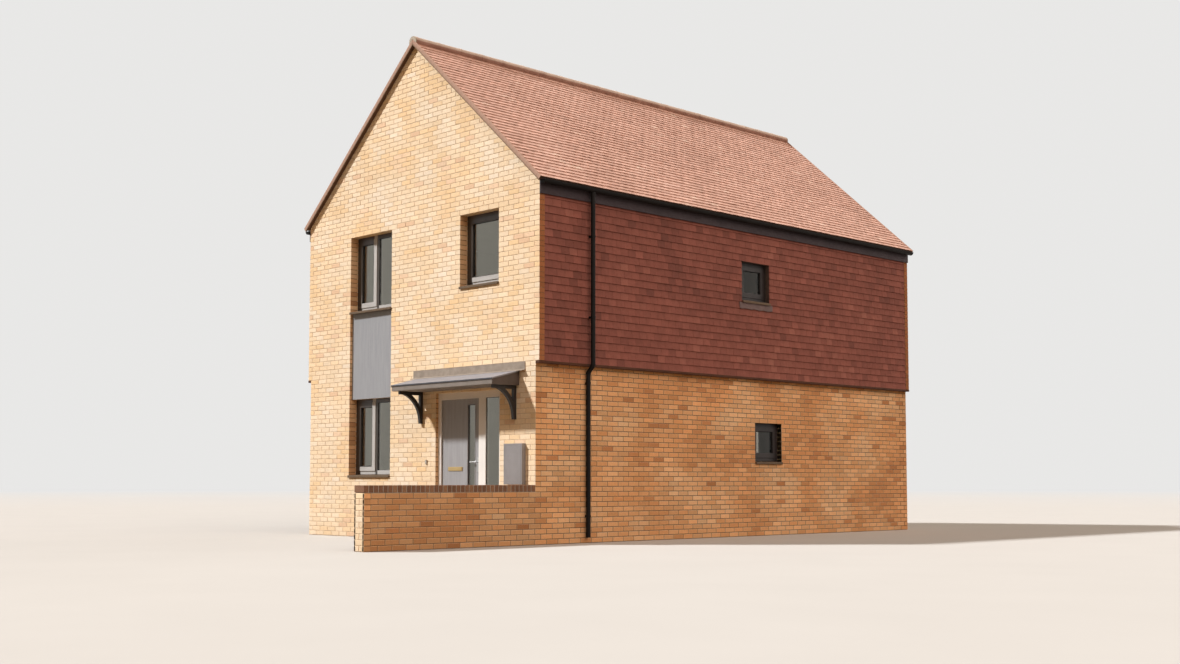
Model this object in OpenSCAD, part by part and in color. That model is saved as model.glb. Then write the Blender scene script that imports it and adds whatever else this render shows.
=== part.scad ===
// Two-storey gabled house in buff brick, with tile-hung side walls upstairs,
// a clay tiled roof, a lean-to canopy over the front door and a low garden wall.
// Millimetres. The origin is the centre of the footprint at ground level,
// +Z is up, and the street front faces -Y.

/* [Walls] */
// Width of the ground storey, outside
house_w = 5730; // [5400:10:6600]
// Length of the house from the front face to the back face
house_len = 9440; // [8600:10:11000]
// Thickness of the outer walls
wall_t = 325; // [290:5:400]
// Height where the upper storey begins
storey_z = 2625; // [2560:5:2750]
// How far the upper storey stands out over the ground storey at each side
side_step = 75; // [50:5:100]
// Depth of the brick return at each upper corner
return_d = 102; // [90:1:215]
// Height of the upper corners of the gable brickwork
eaves_z = 5270; // [5200:10:5600]

/* [Floors] */
// Height of the ground floor above the ground
floor_z = 150; // [50:5:160]
// Height of the first floor
first_floor_z = 2800; // [2780:5:2950]
// Depth of the first floor with its ceiling
first_floor_t = 250; // [200:5:300]
// Depth of the upper ceiling
ceiling_t = 100; // [80:5:150]
// Underside of the upper ceiling below the eaves corner
ceiling_drop = 70; // [50:5:150]

/* [Roof] */
// Rise of the roof over a run of 100
roof_rise = 88; // [78:1:100]
// Thickness of the tiles and battens over the gable brickwork
roof_t = 50; // [40:1:90]
// How far the roof passes the gable faces
verge_over = 50; // [40:1:120]
// How far the tiles' bed passes the faces of the upper side walls
eaves_over = 37; // [28:1:50]
// Exposed length of each course of roof tiles
roof_gauge = 100; // [90:1:110]
// Thickness of a tile at its lower edge
tile_t = 12; // [9:1:16]
// Thickness of the verge strip
verge_t = 18; // [12:1:25]
// Drop of the verge strip and undercloak below the tiles' bed
verge_drop = 12; // [8:1:20]
// How far the verge strip passes the lowest tiles
verge_end = 25; // [10:1:30]
// Half the gap between the two verge strips at the ridge
verge_split = 2; // [1:1:5]
// Radius of the half-round ridge tiles
ridge_r = 130; // [120:1:150]
// Height of the centre of the ridge tiles below the tiles' apex
ridge_sink = 44; // [35:1:50]
// Length of one ridge tile
ridge_len = 450; // [400:10:500]
// How far the collar of a ridge tile stands up
ridge_collar = 6; // [4:1:10]

/* [Tile hanging] */
// Exposed height of each hung course
hang_gauge = 113; // [100:1:115]
// Depth of the dark tilting board under the hung tiles
tilt_h = 35; // [25:1:60]
// How far the tilting board stands out past the hung tiles
tilt_out = 5; // [3:1:12]

/* [Front windows] */
// From the left corner of the ground storey to the tall window strip
strip_in = 1145; // [900:5:1300]
// Width of the tall window strip
strip_w = 1130; // [900:5:1300]
// Sill height of the lower strip window
low_sill_z = 975; // [800:5:1100]
// Head height of the lower strip window and of the doorways
low_head_z = 2250; // [2200:5:2300]
// Sill height of the upper strip window
up_sill_z = 3675; // [3600:5:3800]
// Head height of the upper windows
up_head_z = 4950; // [4800:5:5050]
// From the right corner of the ground storey to the small upper window
small_in = 820; // [700:5:1000]
// Width of the small upper window
small_w = 900; // [600:5:1000]
// Sill height of the small upper window
small_sill_z = 3825; // [3700:5:4000]
// Depth from the brick face to the front of the window frames
reveal_d = 145; // [100:5:160]
// Depth from the brick face to the grey panel between the strip windows
panel_in = 45; // [30:5:130]
// Thickness of the grey panel
panel_t = 15; // [8:1:20]
// Gap round the grey panel
panel_gap = 3; // [2:1:6]

/* [Side windows] */
// From the front face to the ground-floor side window
side_low_in = 4940; // [3500:10:6000]
// Width of the ground-floor side window
side_low_w = 710; // [500:10:1000]
// Sill height of the ground-floor side window
side_low_sill_z = 1200; // [900:5:1300]
// Head height of the ground-floor side window
side_low_head_z = 1875; // [1750:5:2200]
// From the front face to the upper side window
side_up_in = 4540; // [3500:10:6000]
// Width of the upper side window
side_up_w = 720; // [500:10:1000]
// Number of hung courses under the upper side window
side_up_from = 11; // [9:1:12]
// Number of hung courses beside the upper side window
side_up_rows = 6; // [5:1:8]
// Depth from the wall face to the side window frames
side_reveal = 100; // [60:5:130]

/* [Window parts] */
// Depth of a window frame
frame_d = 70; // [55:1:90]
// Width of a window frame member
frame_w = 65; // [50:1:75]
// Width of a casement member
sash_w = 70; // [50:1:80]
// How far a casement laps over its frame
sash_lap = 10; // [6:1:15]
// How far a casement stands out of its frame
sash_out = 12; // [8:1:20]
// Thickness of a sealed glass unit
glass_t = 24; // [18:1:30]
// Depth from the frame's face to the glass
glass_in = 15; // [10:1:25]
// Thickness of a sill at its nose
sill_t = 26; // [18:1:30]
// How far a sill stands out of the wall
sill_out = 25; // [15:1:60]
// Fall of a sill from frame to nose
sill_fall = 14; // [8:1:20]
// Depth and width of the drip under a sill's nose
sill_drip = 12; // [8:1:15]

/* [Front doorway] */
// From the right corner of the ground storey to the doorway
doorway_in = 785; // [600:5:900]
// Width of the doorway, door and sidelight
doorway_w = 1500; // [1450:5:1600]
// Depth from the brick face to the door frame
door_reveal = 50; // [30:1:70]
// Height of the threshold above the floor
threshold_up = 10; // [5:1:20]
// How far the threshold stands out of the wall
threshold_out = 30; // [20:1:60]
// Depth of the door frame
door_frame_d = 80; // [75:1:110]
// Width of the frame's jambs, seen from the street
jamb_w = 65; // [50:1:80]
// Height of the frame's head, seen from the street
head_h = 105; // [80:1:120]
// Height of the frame's sill
frame_sill_h = 20; // [15:1:30]
// Width of the mullion between door and sidelight
mullion_w = 160; // [140:1:180]
// Clear width between the door's stops
door_clear_w = 902; // [860:1:920]
// Depth of the stops in front of the leaf
stop_d = 25; // [20:1:35]
// How far the stops lap over the leaf
stop_lap = 10; // [8:1:14]

/* [Front door] */
// Thickness of the door leaf
leaf_t = 50; // [40:1:55]
// Gap between the leaf and the frame
leaf_gap = 5; // [5:1:6]
// Gap at the lock edge, where the corner swings past the frame
lock_gap = 8; // [8:1:9]
// From the lock edge of the leaf to the glazed strip
light_in = 120; // [110:1:160]
// Width of the glazed strip
light_w = 175; // [120:1:220]
// From the ends of the leaf to the glazed strip
light_end = 100; // [80:1:260]
// Width of the bead round the glazed strip
bead_w = 14; // [10:1:20]
// How far the bead stands out of the leaf
bead_out = 6; // [4:1:8]
// From the hinge edge of the leaf to the letterbox
letter_in = 165; // [120:1:220]
// Width of the letterbox
letter_w = 340; // [250:5:350]
// Height of the letterbox
letter_h = 60; // [40:1:80]
// Height of the letterbox above the floor
letter_up = 910; // [700:5:1000]
// Thickness of the letterbox plate
letter_t = 8; // [5:1:12]
// From the lock edge of the leaf to the handle's spindle
handle_in = 55; // [50:1:70]
// Height of the handle above the floor
handle_up = 1040; // [950:5:1100]
// Length of the lever
lever_len = 135; // [110:1:150]
// Radius of the lever
lever_r = 10; // [8:0.5:11]
// Distance from the leaf to the middle of the lever
lever_out = 45; // [38:1:50]
// Width of the handle plate
plate_w = 42; // [34:1:46]
// Height of the handle plate
plate_h = 220; // [180:1:250]
// Thickness of the handle plate
plate_t = 8; // [5:1:10]
// Height of the lever over the plate's foot
plate_low = 150; // [110:1:165]
// Radius of a hinge knuckle
knuckle_r = 7; // [6:0.5:7]
// Length of one hinge knuckle
knuckle_h = 30; // [25:1:35]
// Distance from the leaf's inner face to the hinge axis
hinge_out = 8; // [8:0.5:9]
// Width of a hinge plate
hinge_w = 30; // [24:1:34]
// Thickness of a hinge plate
hinge_t = 3; // [2:0.5:4]
// From the ends of the leaf to the outer hinges
hinge_end = 200; // [150:10:300]

/* [Canopy] */
// Width of the canopy, centred on the doorway
canopy_w = 2395; // [1900:5:2500]
// How far the canopy stands out
canopy_out = 530; // [450:5:700]
// Height of the canopy's front edge
canopy_front_z = 2375; // [2350:5:2400]
// Fall of the canopy over each unit of its depth
canopy_fall = 0.25; // [0.2:0.01:0.35]
// Thickness of the canopy's roof sheet
canopy_t = 22; // [15:1:30]
// Height of the fascia under the sheet's front edge
canopy_fascia_h = 68; // [55:1:90]
// Thickness of the canopy's boards
canopy_board_t = 20; // [15:1:25]
// How far the sheet passes the boards
canopy_drip = 10; // [6:1:20]
// How far the flashing passes the canopy's ends
flashing_over = 115; // [60:5:150]
// Height of the flashing on the wall
flashing_h = 120; // [90:5:150]
// Length of the flashing's skirt down the sheet
flashing_skirt = 70; // [50:5:120]
// Thickness of the flashing
flashing_t = 8; // [5:1:10]

/* [Canopy brackets] */
// From the end of the canopy to the middle of a bracket
bracket_in = 100; // [80:5:200]
// Width of the bracket timbers
bracket_w = 50; // [40:1:70]
// How far a bracket reaches out
bracket_out = 440; // [380:5:500]
// Height of a bracket
bracket_h = 490; // [430:5:600]
// Depth of the curved brace
brace_w = 58; // [45:1:70]

/* [Rainwater goods] */
// Radius of the half-round gutter
gutter_r = 56; // [50:1:65]
// Thickness of the gutter
gutter_t = 3; // [3:0.5:5]
// Gap between the gutter and the fascia
gutter_gap = 4; // [3:1:10]
// How far the gutter lies below the tiles' lower corner
gutter_drop = 10; // [8:1:25]
// Spacing of the gutter brackets
gutter_pitch = 1000; // [800:50:1200]
// From the gutter's ends to its outer brackets
gutter_bracket_in = 110; // [60:10:200]
// How far a bracket grips the gutter
gutter_grip = 8; // [6:1:12]
// Thickness of the fascia board
fascia_t = 20; // [18:1:25]
// Height of the fascia board
fascia_h = 215; // [150:5:250]
// Radius of the downpipe
pipe_r = 34; // [32:1:36]
// Thickness of the downpipe's wall
pipe_t = 3; // [3:0.5:5]
// From the front face to the downpipe
pipe_in = 1000; // [600:10:2000]
// Bend radius of the downpipe's offset
pipe_bend_r = 60; // [55:1:70]
// Distance from the ground wall to the lower downpipe's middle
pipe_off = 55; // [50:1:60]
// Height of the downpipe's foot
pipe_foot_z = 80; // [50:5:150]
// Height of the outlet socket under the gutter
outlet_h = 55; // [40:1:80]
// Heights of the downpipe's lower clips
low_clips = [380, 2330];
// Heights of the downpipe's upper clips
up_clips = [3300, 4500];

/* [Meter box] */
// From the right corner of the ground storey to the middle of the box
meter_in = 410; // [350:5:450]
// Width of the meter box
meter_w = 397; // [350:1:420]
// Height of the meter box
meter_h = 590; // [500:5:595]
// Depth of the meter box
meter_d = 70; // [50:1:120]
// Height of the meter box's top
meter_top_z = 1445; // [1400:5:1600]
// Border round the meter box's door
meter_rim = 25; // [15:1:35]

/* [Garden wall] */
// Length of the garden wall in front of the house
garden_len = 2950; // [2000:10:4000]
// Thickness of the garden wall
garden_t = 215; // [200:5:330]
// Height of the garden wall without its coping
garden_h = 750; // [600:25:900]
// Height of the brick-on-edge coping
coping_h = 100; // [75:1:110]
// Width of one coping brick with its joint
coping_pitch = 75; // [70:1:80]
// Width and depth of the joints in the coping
coping_joint = 8; // [6:1:12]

/* [Back doorway] */
// From the left corner, seen from the back garden side, to the back doorway
back_door_in = 3300; // [3100:10:3500]
// Width of the back doorway
back_door_w = 950; // [900:5:1100]
// Height of the solid lower part of the back door
back_lock_h = 900; // [700:10:1000]
// Width of the back door's stiles and rails
back_stile = 110; // [90:1:130]

/* [Hidden] */
// Sets the smoothness of pipes and other round pieces
$fn = 40;

// Faces of the house
half_w = house_w / 2;
half_len = house_len / 2;
upper_x = half_w + side_step;
inner_x = half_w - wall_t;
inner_y = half_len - wall_t;

// Roof geometry: s runs down the slope from the apex, n stands square to it
roof_slope = roof_rise / 100;
roof_pitch = atan(roof_slope);
apex_z = eaves_z + upper_x * roof_slope;
bed_x = upper_x + eaves_over;
slope_len = bed_x / cos(roof_pitch);
roof_courses = ceil(slope_len / roof_gauge);
roof_end_y = half_len + verge_over;
ridge_z = apex_z + roof_t / cos(roof_pitch) - ridge_sink;
function under_roof(x) = apex_z - x * roof_slope;
function slope_point(s, n) =
    [s * cos(roof_pitch) + n * sin(roof_pitch), apex_z - s * sin(roof_pitch) + n * cos(roof_pitch)];
function slope_start(x, n) = (x - n * sin(roof_pitch)) / cos(roof_pitch);
function bed_point(x) = [x, under_roof(x)];

// Tile hanging
hang_rows = floor((eaves_z - storey_z - tile_t) / hang_gauge);
side_up_sill_z = storey_z + side_up_from * hang_gauge;
side_up_head_z = side_up_sill_z + side_up_rows * hang_gauge;

// Windows: middle along the wall, width, sill height, head height, lights
strip_x = -half_w + strip_in + strip_w / 2;
small_x = half_w - small_in - small_w / 2;
low_window = [strip_x, strip_w, low_sill_z, low_head_z, 2];
up_window = [strip_x, strip_w, up_sill_z, up_head_z, 2];
small_window = [small_x, small_w, small_sill_z, up_head_z, 1];
face_windows = [low_window, up_window, small_window];
side_low = [-half_len + side_low_in + side_low_w / 2, side_low_w, side_low_sill_z, side_low_head_z, 1];
side_up = [-half_len + side_up_in + side_up_w / 2, side_up_w, side_up_sill_z, side_up_head_z, 1];

// Front doorway
doorway_x1 = half_w - doorway_in;
doorway_x0 = doorway_x1 - doorway_w;
doorway_mid = (doorway_x0 + doorway_x1) / 2;
threshold_z = floor_z + threshold_up;
frame_y0 = -half_len + door_reveal;
frame_y1 = frame_y0 + door_frame_d;
stop_x0 = doorway_x0 + jamb_w;
stop_x1 = stop_x0 + door_clear_w;
stop_top_z = low_head_z - head_h;
rebate_x0 = stop_x0 - stop_lap - leaf_gap;
rebate_x1 = stop_x1 + stop_lap + leaf_gap;
rebate_top_z = stop_top_z + stop_lap + leaf_gap;
frame_sill_z = threshold_z + frame_sill_h;
sidelight_x0 = stop_x1 + mullion_w;
sidelight_x1 = doorway_x1 - jamb_w;
sidelight_z0 = frame_sill_z + jamb_w;

// Door leaf and its hinge axis
leaf_x0 = rebate_x0 + leaf_gap;
leaf_x1 = rebate_x1 - lock_gap;
leaf_y0 = frame_y0 + stop_d + leaf_gap;
leaf_y1 = leaf_y0 + leaf_t;
leaf_z0 = frame_sill_z + leaf_gap;
leaf_z1 = rebate_top_z - leaf_gap;
hinge_x = leaf_x0 - leaf_gap / 2;
hinge_y = leaf_y1 + hinge_out;
hinge_play = 1;
hinge_rows = [leaf_z0 + hinge_end, (leaf_z0 + leaf_z1) / 2, leaf_z1 - hinge_end];
light_x1 = leaf_x1 - light_in;
light_x0 = light_x1 - light_w;
light_z0 = leaf_z0 + light_end;
light_z1 = leaf_z1 - light_end;

// Canopy: u runs out from the wall
canopy_x0 = doorway_mid - canopy_w / 2;
canopy_wall_z = canopy_front_z + canopy_fall * canopy_out;
canopy_soffit_z = canopy_front_z - canopy_t - canopy_fascia_h;
function sheet_top(u) = canopy_wall_z - canopy_fall * u;
function sheet_bottom(u) = sheet_top(u) - canopy_t;
brace_r = bracket_h - bracket_w / 2;

// Rainwater goods
fascia_x1 = upper_x + fascia_t;
fascia_top_z = under_roof(fascia_x1);
gutter_x = fascia_x1 + gutter_gap + gutter_r;
gutter_z = under_roof(bed_x) - gutter_drop;
gutter_end_y = half_len + 10;
pipe_y = -half_len + pipe_in;
low_pipe_x = half_w + pipe_off;
outlet_z = gutter_z - gutter_r - outlet_h;
bend_angle = 45;
bend_in = pipe_bend_r * (1 - cos(bend_angle));
bend_down = pipe_bend_r * sin(bend_angle);
neck_len = (gutter_x - low_pipe_x - 2 * bend_in) / sin(bend_angle);
neck_end_z = storey_z - 2 * bend_down - neck_len * cos(bend_angle);

// Cube between two opposite corners
module block(a, b) {
    translate(a) cube(b - a);
}

// Solid that runs along Y from y0 to y1, drawn by its outline in X and Z
module along_y(y0, y1) {
    translate([0, y1, 0]) rotate([90, 0, 0]) linear_extrude(y1 - y0) children();
}

// Solid that runs along X from x0 to x1, drawn by its outline in Y and Z
module along_x(x0, x1) {
    translate([x0, 0, 0]) rotate([90, 0, 90]) linear_extrude(x1 - x0) children();
}

// Copies of what is made for the right side on both sides
module both_sides() {
    children();
    mirror([1, 0, 0]) children();
}

// Copies of what is made for the front on the front and the back
module both_ends() {
    children();
    rotate([0, 0, 180]) children();
}

// Hole for a window in the front wall
module face_window_hole(w) {
    block([w[0] - w[1] / 2, -half_len - 1, w[2]], [w[0] + w[1] / 2, -inner_y + 1, w[3]]);
}

// Shallow pocket between the strip windows, which holds the grey panel
module panel_pocket() {
    block([strip_x - strip_w / 2, -half_len - 1, low_head_z],
        [strip_x + strip_w / 2, -half_len + panel_in + panel_t, up_sill_z]);
}

// Hole for a window in the right wall
module side_window_hole(w) {
    block([inner_x - 1, w[0] - w[1] / 2, w[2]], [upper_x + 1, w[0] + w[1] / 2, w[3]]);
}

module ground_floor() {
    color("#b5b0a6")
        block([-inner_x, -inner_y, 0], [inner_x, inner_y, floor_z]);
}

module first_floor() {
    color("#d8d2c4")
        block([-inner_x, -inner_y, first_floor_z - first_floor_t], [inner_x, inner_y, first_floor_z]);
}

module upper_ceiling() {
    color("#e6e2d8")
        block([-inner_x, -inner_y, eaves_z - ceiling_drop],
            [inner_x, inner_y, eaves_z - ceiling_drop + ceiling_t]);
}

module front_wall_left() {
    color("#e2c48e") difference() {
        block([-half_w, -half_len, 0], [doorway_x0, -inner_y, storey_z]);
        face_window_hole(low_window);
        panel_pocket();
    }
}

module front_wall_right() {
    color("#e2c48e")
        block([doorway_x1, -half_len, 0], [half_w, -inner_y, storey_z]);
}

module front_wall_over_door() {
    color("#e2c48e")
        block([doorway_x0, -half_len, low_head_z], [doorway_x1, -inner_y, storey_z]);
}

// Upper wall and gable, with a thin brick return over the stepped-out corners
module gable() {
    difference() {
        union() {
            along_y(-half_len, -half_len + return_d)
                polygon([[-upper_x, storey_z], [upper_x, storey_z], [upper_x, under_roof(upper_x)],
                    [0, apex_z], [-upper_x, under_roof(upper_x)]]);
            along_y(-half_len, -inner_y)
                polygon([[-half_w, storey_z], [half_w, storey_z], [half_w, under_roof(half_w)],
                    [0, apex_z], [-half_w, under_roof(half_w)]]);
        }
        face_window_hole(up_window);
        face_window_hole(small_window);
        panel_pocket();
    }
}

module front_gable() {
    color("#e6c893") gable();
}

// Ground storey of the back, turned so that it is drawn like the front
module back_wall() {
    color("#e2c48e") rotate([0, 0, 180]) difference() {
        block([-half_w, -half_len, 0], [half_w, -inner_y, storey_z]);
        face_window_hole(low_window);
        panel_pocket();
        block([-half_w + back_door_in, -half_len - 1, threshold_z],
            [-half_w + back_door_in + back_door_w, -inner_y + 1, low_head_z]);
    }
}

module back_gable() {
    color("#e6c893") rotate([0, 0, 180]) gable();
}

module side_wall_lower() {
    difference() {
        block([inner_x, -inner_y, 0], [half_w, inner_y, storey_z]);
        side_window_hole(side_low);
    }
}

module right_wall_lower() {
    color("#c99a63") side_wall_lower();
}

module left_wall_lower() {
    color("#c99a63") mirror([1, 0, 0]) side_wall_lower();
}

// Upper side wall, cut to the slope of the roof along its top
module side_wall_upper() {
    difference() {
        along_y(-inner_y, inner_y)
            polygon([[inner_x, storey_z], [half_w, storey_z],
                [half_w, under_roof(half_w)], [inner_x, under_roof(inner_x)]]);
        side_window_hole(side_up);
    }
}

module right_wall_upper() {
    color("#b9b4aa") side_wall_upper();
}

module left_wall_upper() {
    color("#b9b4aa") mirror([1, 0, 0]) side_wall_upper();
}

// Outline of the hung courses, each leaning out to its lower edge
module hanging_outline() {
    polygon(concat(
        [[half_w, storey_z]],
        [for (i = [0 : hang_rows - 1], k = [0, 1])
            [upper_x - k * tile_t, storey_z + (i + k) * hang_gauge]],
        [[half_w, storey_z + hang_rows * hang_gauge]]));
}

module tile_hanging() {
    difference() {
        along_y(-half_len + return_d, half_len - return_d) hanging_outline();
        side_window_hole(side_up);
    }
}

module right_tile_hanging() {
    color("#7b3f2c") tile_hanging();
}

module left_tile_hanging() {
    color("#7b3f2c") mirror([1, 0, 0]) tile_hanging();
}

// Dark boards under the hung tiles and under the stepped-out brick corners
module tilting_boards() {
    color("#2b2724") both_sides()
        block([half_w, -half_len, storey_z - tilt_h], [upper_x + tilt_out, half_len, storey_z]);
}

// Outline of one roof slope, with every course stepped up at its lower edge
module slope_outline() {
    first_s = slope_len - roof_courses * roof_gauge;
    steps = [for (i = [0 : roof_courses - 1], k = [0, 1])
        slope_point(max(first_s + (i + k) * roof_gauge, 0), roof_t - (1 - k) * tile_t)];
    polygon(concat(
        [[0, apex_z], [0, apex_z + (roof_t - tile_t) / cos(roof_pitch)]],
        steps,
        [bed_point(bed_x)]));
}

module right_roof() {
    color("#b5694f") along_y(-roof_end_y, roof_end_y) slope_outline();
}

module left_roof() {
    color("#b5694f") mirror([1, 0, 0]) right_roof();
}

// All that lies under a line at height n over the roof's bed
module under_slopes(n, y0, y1) {
    top = apex_z + n / cos(roof_pitch);
    reach = 2 * ridge_r;
    drop = reach * roof_slope;
    along_y(y0, y1)
        polygon([[0, top], [reach, top - drop], [reach, top - drop - reach],
            [-reach, top - drop - reach], [-reach, top - drop]]);
}

module ridge_bar(r, y0, y1) {
    translate([0, y1, ridge_z]) rotate([90, 0, 0]) cylinder(r = r, h = y1 - y0);
}

// Half-round ridge tiles bedded on the slopes, with a collar at each joint
module ridge_tiles() {
    tiles = round(2 * roof_end_y / ridge_len);
    pitch = 2 * roof_end_y / tiles;
    collar_w = pitch / 10;
    color("#8a4a35") difference() {
        union() {
            ridge_bar(ridge_r, -roof_end_y, roof_end_y);
            for (i = [0 : tiles - 1])
                ridge_bar(ridge_r + ridge_collar, -roof_end_y + i * pitch, -roof_end_y + i * pitch + collar_w);
        }
        under_slopes(roof_t, -roof_end_y - 1, roof_end_y + 1);
    }
}

// Round stops that close the two ends of the ridge
module ridge_ends() {
    color("#b9b4ab") both_ends() difference() {
        ridge_bar(ridge_r, -roof_end_y - verge_t, -roof_end_y);
        under_slopes(roof_t + verge_drop, -roof_end_y - verge_t - 1, -roof_end_y + 1);
    }
}

// Strip along one slope between two heights over the roof's bed
module slope_strip(end_s, n0, n1) {
    polygon([slope_point(slope_start(verge_split, n0), n0), slope_point(end_s, n0),
        slope_point(end_s, n1), slope_point(slope_start(verge_split, n1), n1)]);
}

// Strip under the tiles' bed, between the verge strip and the brick face
module undercloak() {
    polygon([bed_point(verge_split), bed_point(bed_x), slope_point(slope_len, -verge_drop),
        slope_point(slope_start(verge_split, -verge_drop), -verge_drop)]);
}

// Verge strips on the tiles' ends, with the undercloak over the brick face
module verges() {
    color("#c9c3b8") both_ends() both_sides() {
        along_y(-roof_end_y - verge_t, -roof_end_y)
            slope_strip(slope_len + verge_end, -verge_drop, roof_t + verge_drop);
        along_y(-roof_end_y, -half_len) undercloak();
    }
}

// Fascia boards, cut to the roof along their top
module fascias() {
    color("#55504f") both_sides() along_y(-half_len, half_len)
        polygon([[upper_x, fascia_top_z - fascia_h], [fascia_x1, fascia_top_z - fascia_h],
            [fascia_x1, fascia_top_z], [upper_x, fascia_top_z]]);
}

module gutter_outline() {
    difference() {
        circle(r = gutter_r);
        circle(r = gutter_r - gutter_t);
        translate([-2 * gutter_r, 0]) square([4 * gutter_r, 2 * gutter_r]);
    }
}

module half_disc() {
    difference() {
        circle(r = gutter_r);
        translate([-2 * gutter_r, 0]) square([4 * gutter_r, 2 * gutter_r]);
    }
}

// Half-round gutter with stop ends, brackets on the fascia and an outlet
module gutter() {
    first_y = -gutter_end_y + gutter_bracket_in;
    gaps = round(-2 * first_y / gutter_pitch);
    bracket_half = 15;
    difference() {
        union() {
            translate([gutter_x, 0, gutter_z]) along_y(-gutter_end_y, gutter_end_y) gutter_outline();
            for (side = [-1, 1])
                translate([gutter_x, side * (gutter_end_y - gutter_t / 2), gutter_z])
                    along_y(-gutter_t / 2, gutter_t / 2) half_disc();
            for (i = [0 : gaps])
                translate([0, first_y * (1 - 2 * i / gaps), gutter_z])
                    block([fascia_x1, -bracket_half, -gutter_r / 2],
                        [fascia_x1 + gutter_gap + gutter_t + gutter_grip, bracket_half, -gutter_t]);
            translate([gutter_x, pipe_y, outlet_z])
                cylinder(r = pipe_r + pipe_t, h = outlet_h + gutter_t);
        }
        translate([gutter_x, pipe_y, outlet_z - 1])
            cylinder(r = pipe_r - pipe_t, h = outlet_h + gutter_r);
        translate([gutter_x, 0, gutter_z]) along_y(-gutter_end_y + gutter_t, gutter_end_y - gutter_t)
            circle(r = gutter_r - gutter_t);
    }
}

module gutters() {
    color("#1d1c1b") both_sides() gutter();
}

module straight_pipe(len) {
    linear_extrude(len) difference() {
        circle(r = pipe_r);
        circle(r = pipe_r - pipe_t);
    }
}

// Fitting of the offset, a little stouter than the pipe inside and outside
module pipe_bend() {
    translate([-pipe_bend_r, 0, 0]) rotate([90, 0, 0])
        rotate_extrude(angle = bend_angle) translate([pipe_bend_r, 0]) difference() {
            circle(r = pipe_r + pipe_t);
            circle(r = pipe_r - 2 * pipe_t);
        }
}

// Clip round the pipe with its foot on a wall face at x
module pipe_clip(x, wall_x, z) {
    clip_r = pipe_r + 4;
    clip_h = 30;
    difference() {
        union() {
            translate([x, pipe_y, z]) cylinder(r = clip_r, h = clip_h);
            block([wall_x, pipe_y - clip_h / 2, z], [x, pipe_y + clip_h / 2, z + clip_h]);
        }
        translate([x, pipe_y, z - 1]) cylinder(r = pipe_r - pipe_t / 2, h = clip_h + 2);
    }
}

// Downpipe with a swan-neck offset from the upper wall to the ground wall
module downpipe() {
    lap = 4;
    translate([gutter_x, pipe_y, storey_z - lap]) straight_pipe(outlet_z - storey_z + lap);
    translate([gutter_x, pipe_y, storey_z]) rotate([180, 0, 0]) mirror([0, 1, 0]) pipe_bend();
    translate([gutter_x - bend_in, pipe_y, storey_z - bend_down])
        rotate([0, 180 + bend_angle, 0]) translate([0, 0, -lap]) straight_pipe(neck_len + 2 * lap);
    translate([low_pipe_x, pipe_y, neck_end_z]) mirror([1, 0, 0]) pipe_bend();
    translate([low_pipe_x, pipe_y, pipe_foot_z]) straight_pipe(neck_end_z + lap - pipe_foot_z);
    for (z = low_clips) pipe_clip(low_pipe_x, half_w, z);
    for (z = up_clips) pipe_clip(gutter_x, upper_x, z);
}

module downpipes() {
    color("#1d1c1b") both_sides() downpipe();
}

// Clear width of each light of a window
function light_width(w, lights) = (w - (lights + 1) * frame_w) / lights;

// Window frame with its outer face at y = 0 and its foot at z = 0
module window_frame(w, h, lights) {
    lw = light_width(w, lights);
    lh = h - 2 * frame_w;
    difference() {
        union() {
            block([-w / 2, 0, 0], [w / 2, frame_d, h]);
            block([-w / 2 + frame_w - sash_lap, -sash_out, frame_w - sash_lap],
                [-w / 2 + frame_w + lw + sash_lap, 0, h - frame_w + sash_lap]);
        }
        block([-w / 2 + frame_w + sash_w, -sash_out - 1, frame_w + sash_w],
            [-w / 2 + frame_w + lw - sash_w, frame_d + 1, frame_w + lh - sash_w]);
        if (lights > 1)
            block([w / 2 - frame_w - lw, -1, frame_w], [w / 2 - frame_w, frame_d + 1, frame_w + lh]);
    }
}

// Glass units that fill the frame's lights
module window_panes(w, h, lights) {
    lw = light_width(w, lights);
    block([-w / 2 + frame_w + sash_w, glass_in, frame_w + sash_w],
        [-w / 2 + frame_w + lw - sash_w, glass_in + glass_t, h - frame_w - sash_w]);
    if (lights > 1)
        block([w / 2 - frame_w - lw, glass_in, frame_w],
            [w / 2 - frame_w, glass_in + glass_t, h - frame_w]);
}

// Sill with a falling top and a drip, from the frame at y = depth out past the wall
module window_sill(w, depth) {
    along_x(-w / 2, w / 2)
        polygon([[depth, 0], [depth, sill_t + sill_fall], [-sill_out, sill_t],
            [-sill_out, -sill_drip], [-sill_out + sill_drip, -sill_drip], [-sill_out + sill_drip, 0]]);
}

// Height of the frame's foot over the sill of its hole
frame_up = sill_t + sill_fall;

module place_face(w) {
    translate([w[0], -half_len, w[2]]) children();
}

module place_side(w, face_x) {
    translate([face_x, w[0], w[2]]) rotate([0, 0, 90]) children();
}

module face_frames() {
    for (w = face_windows)
        place_face(w) translate([0, reveal_d, frame_up]) window_frame(w[1], w[3] - w[2] - frame_up, w[4]);
}

module face_panes() {
    for (w = face_windows)
        place_face(w) translate([0, reveal_d, frame_up]) window_panes(w[1], w[3] - w[2] - frame_up, w[4]);
}

module front_window_frames() {
    color("#7f7c7a") face_frames();
}

module front_window_glass() {
    color("#6f7a74") {
        face_panes();
        sidelight_pane();
    }
}

module side_window_frames() {
    color("#7f7c7a") both_sides() {
        place_side(side_low, half_w - side_reveal) translate([0, 0, frame_up])
            window_frame(side_low[1], side_low[3] - side_low[2] - frame_up, 1);
        place_side(side_up, upper_x - side_reveal) translate([0, 0, frame_up])
            window_frame(side_up[1], side_up[3] - side_up[2] - frame_up, 1);
    }
}

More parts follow.
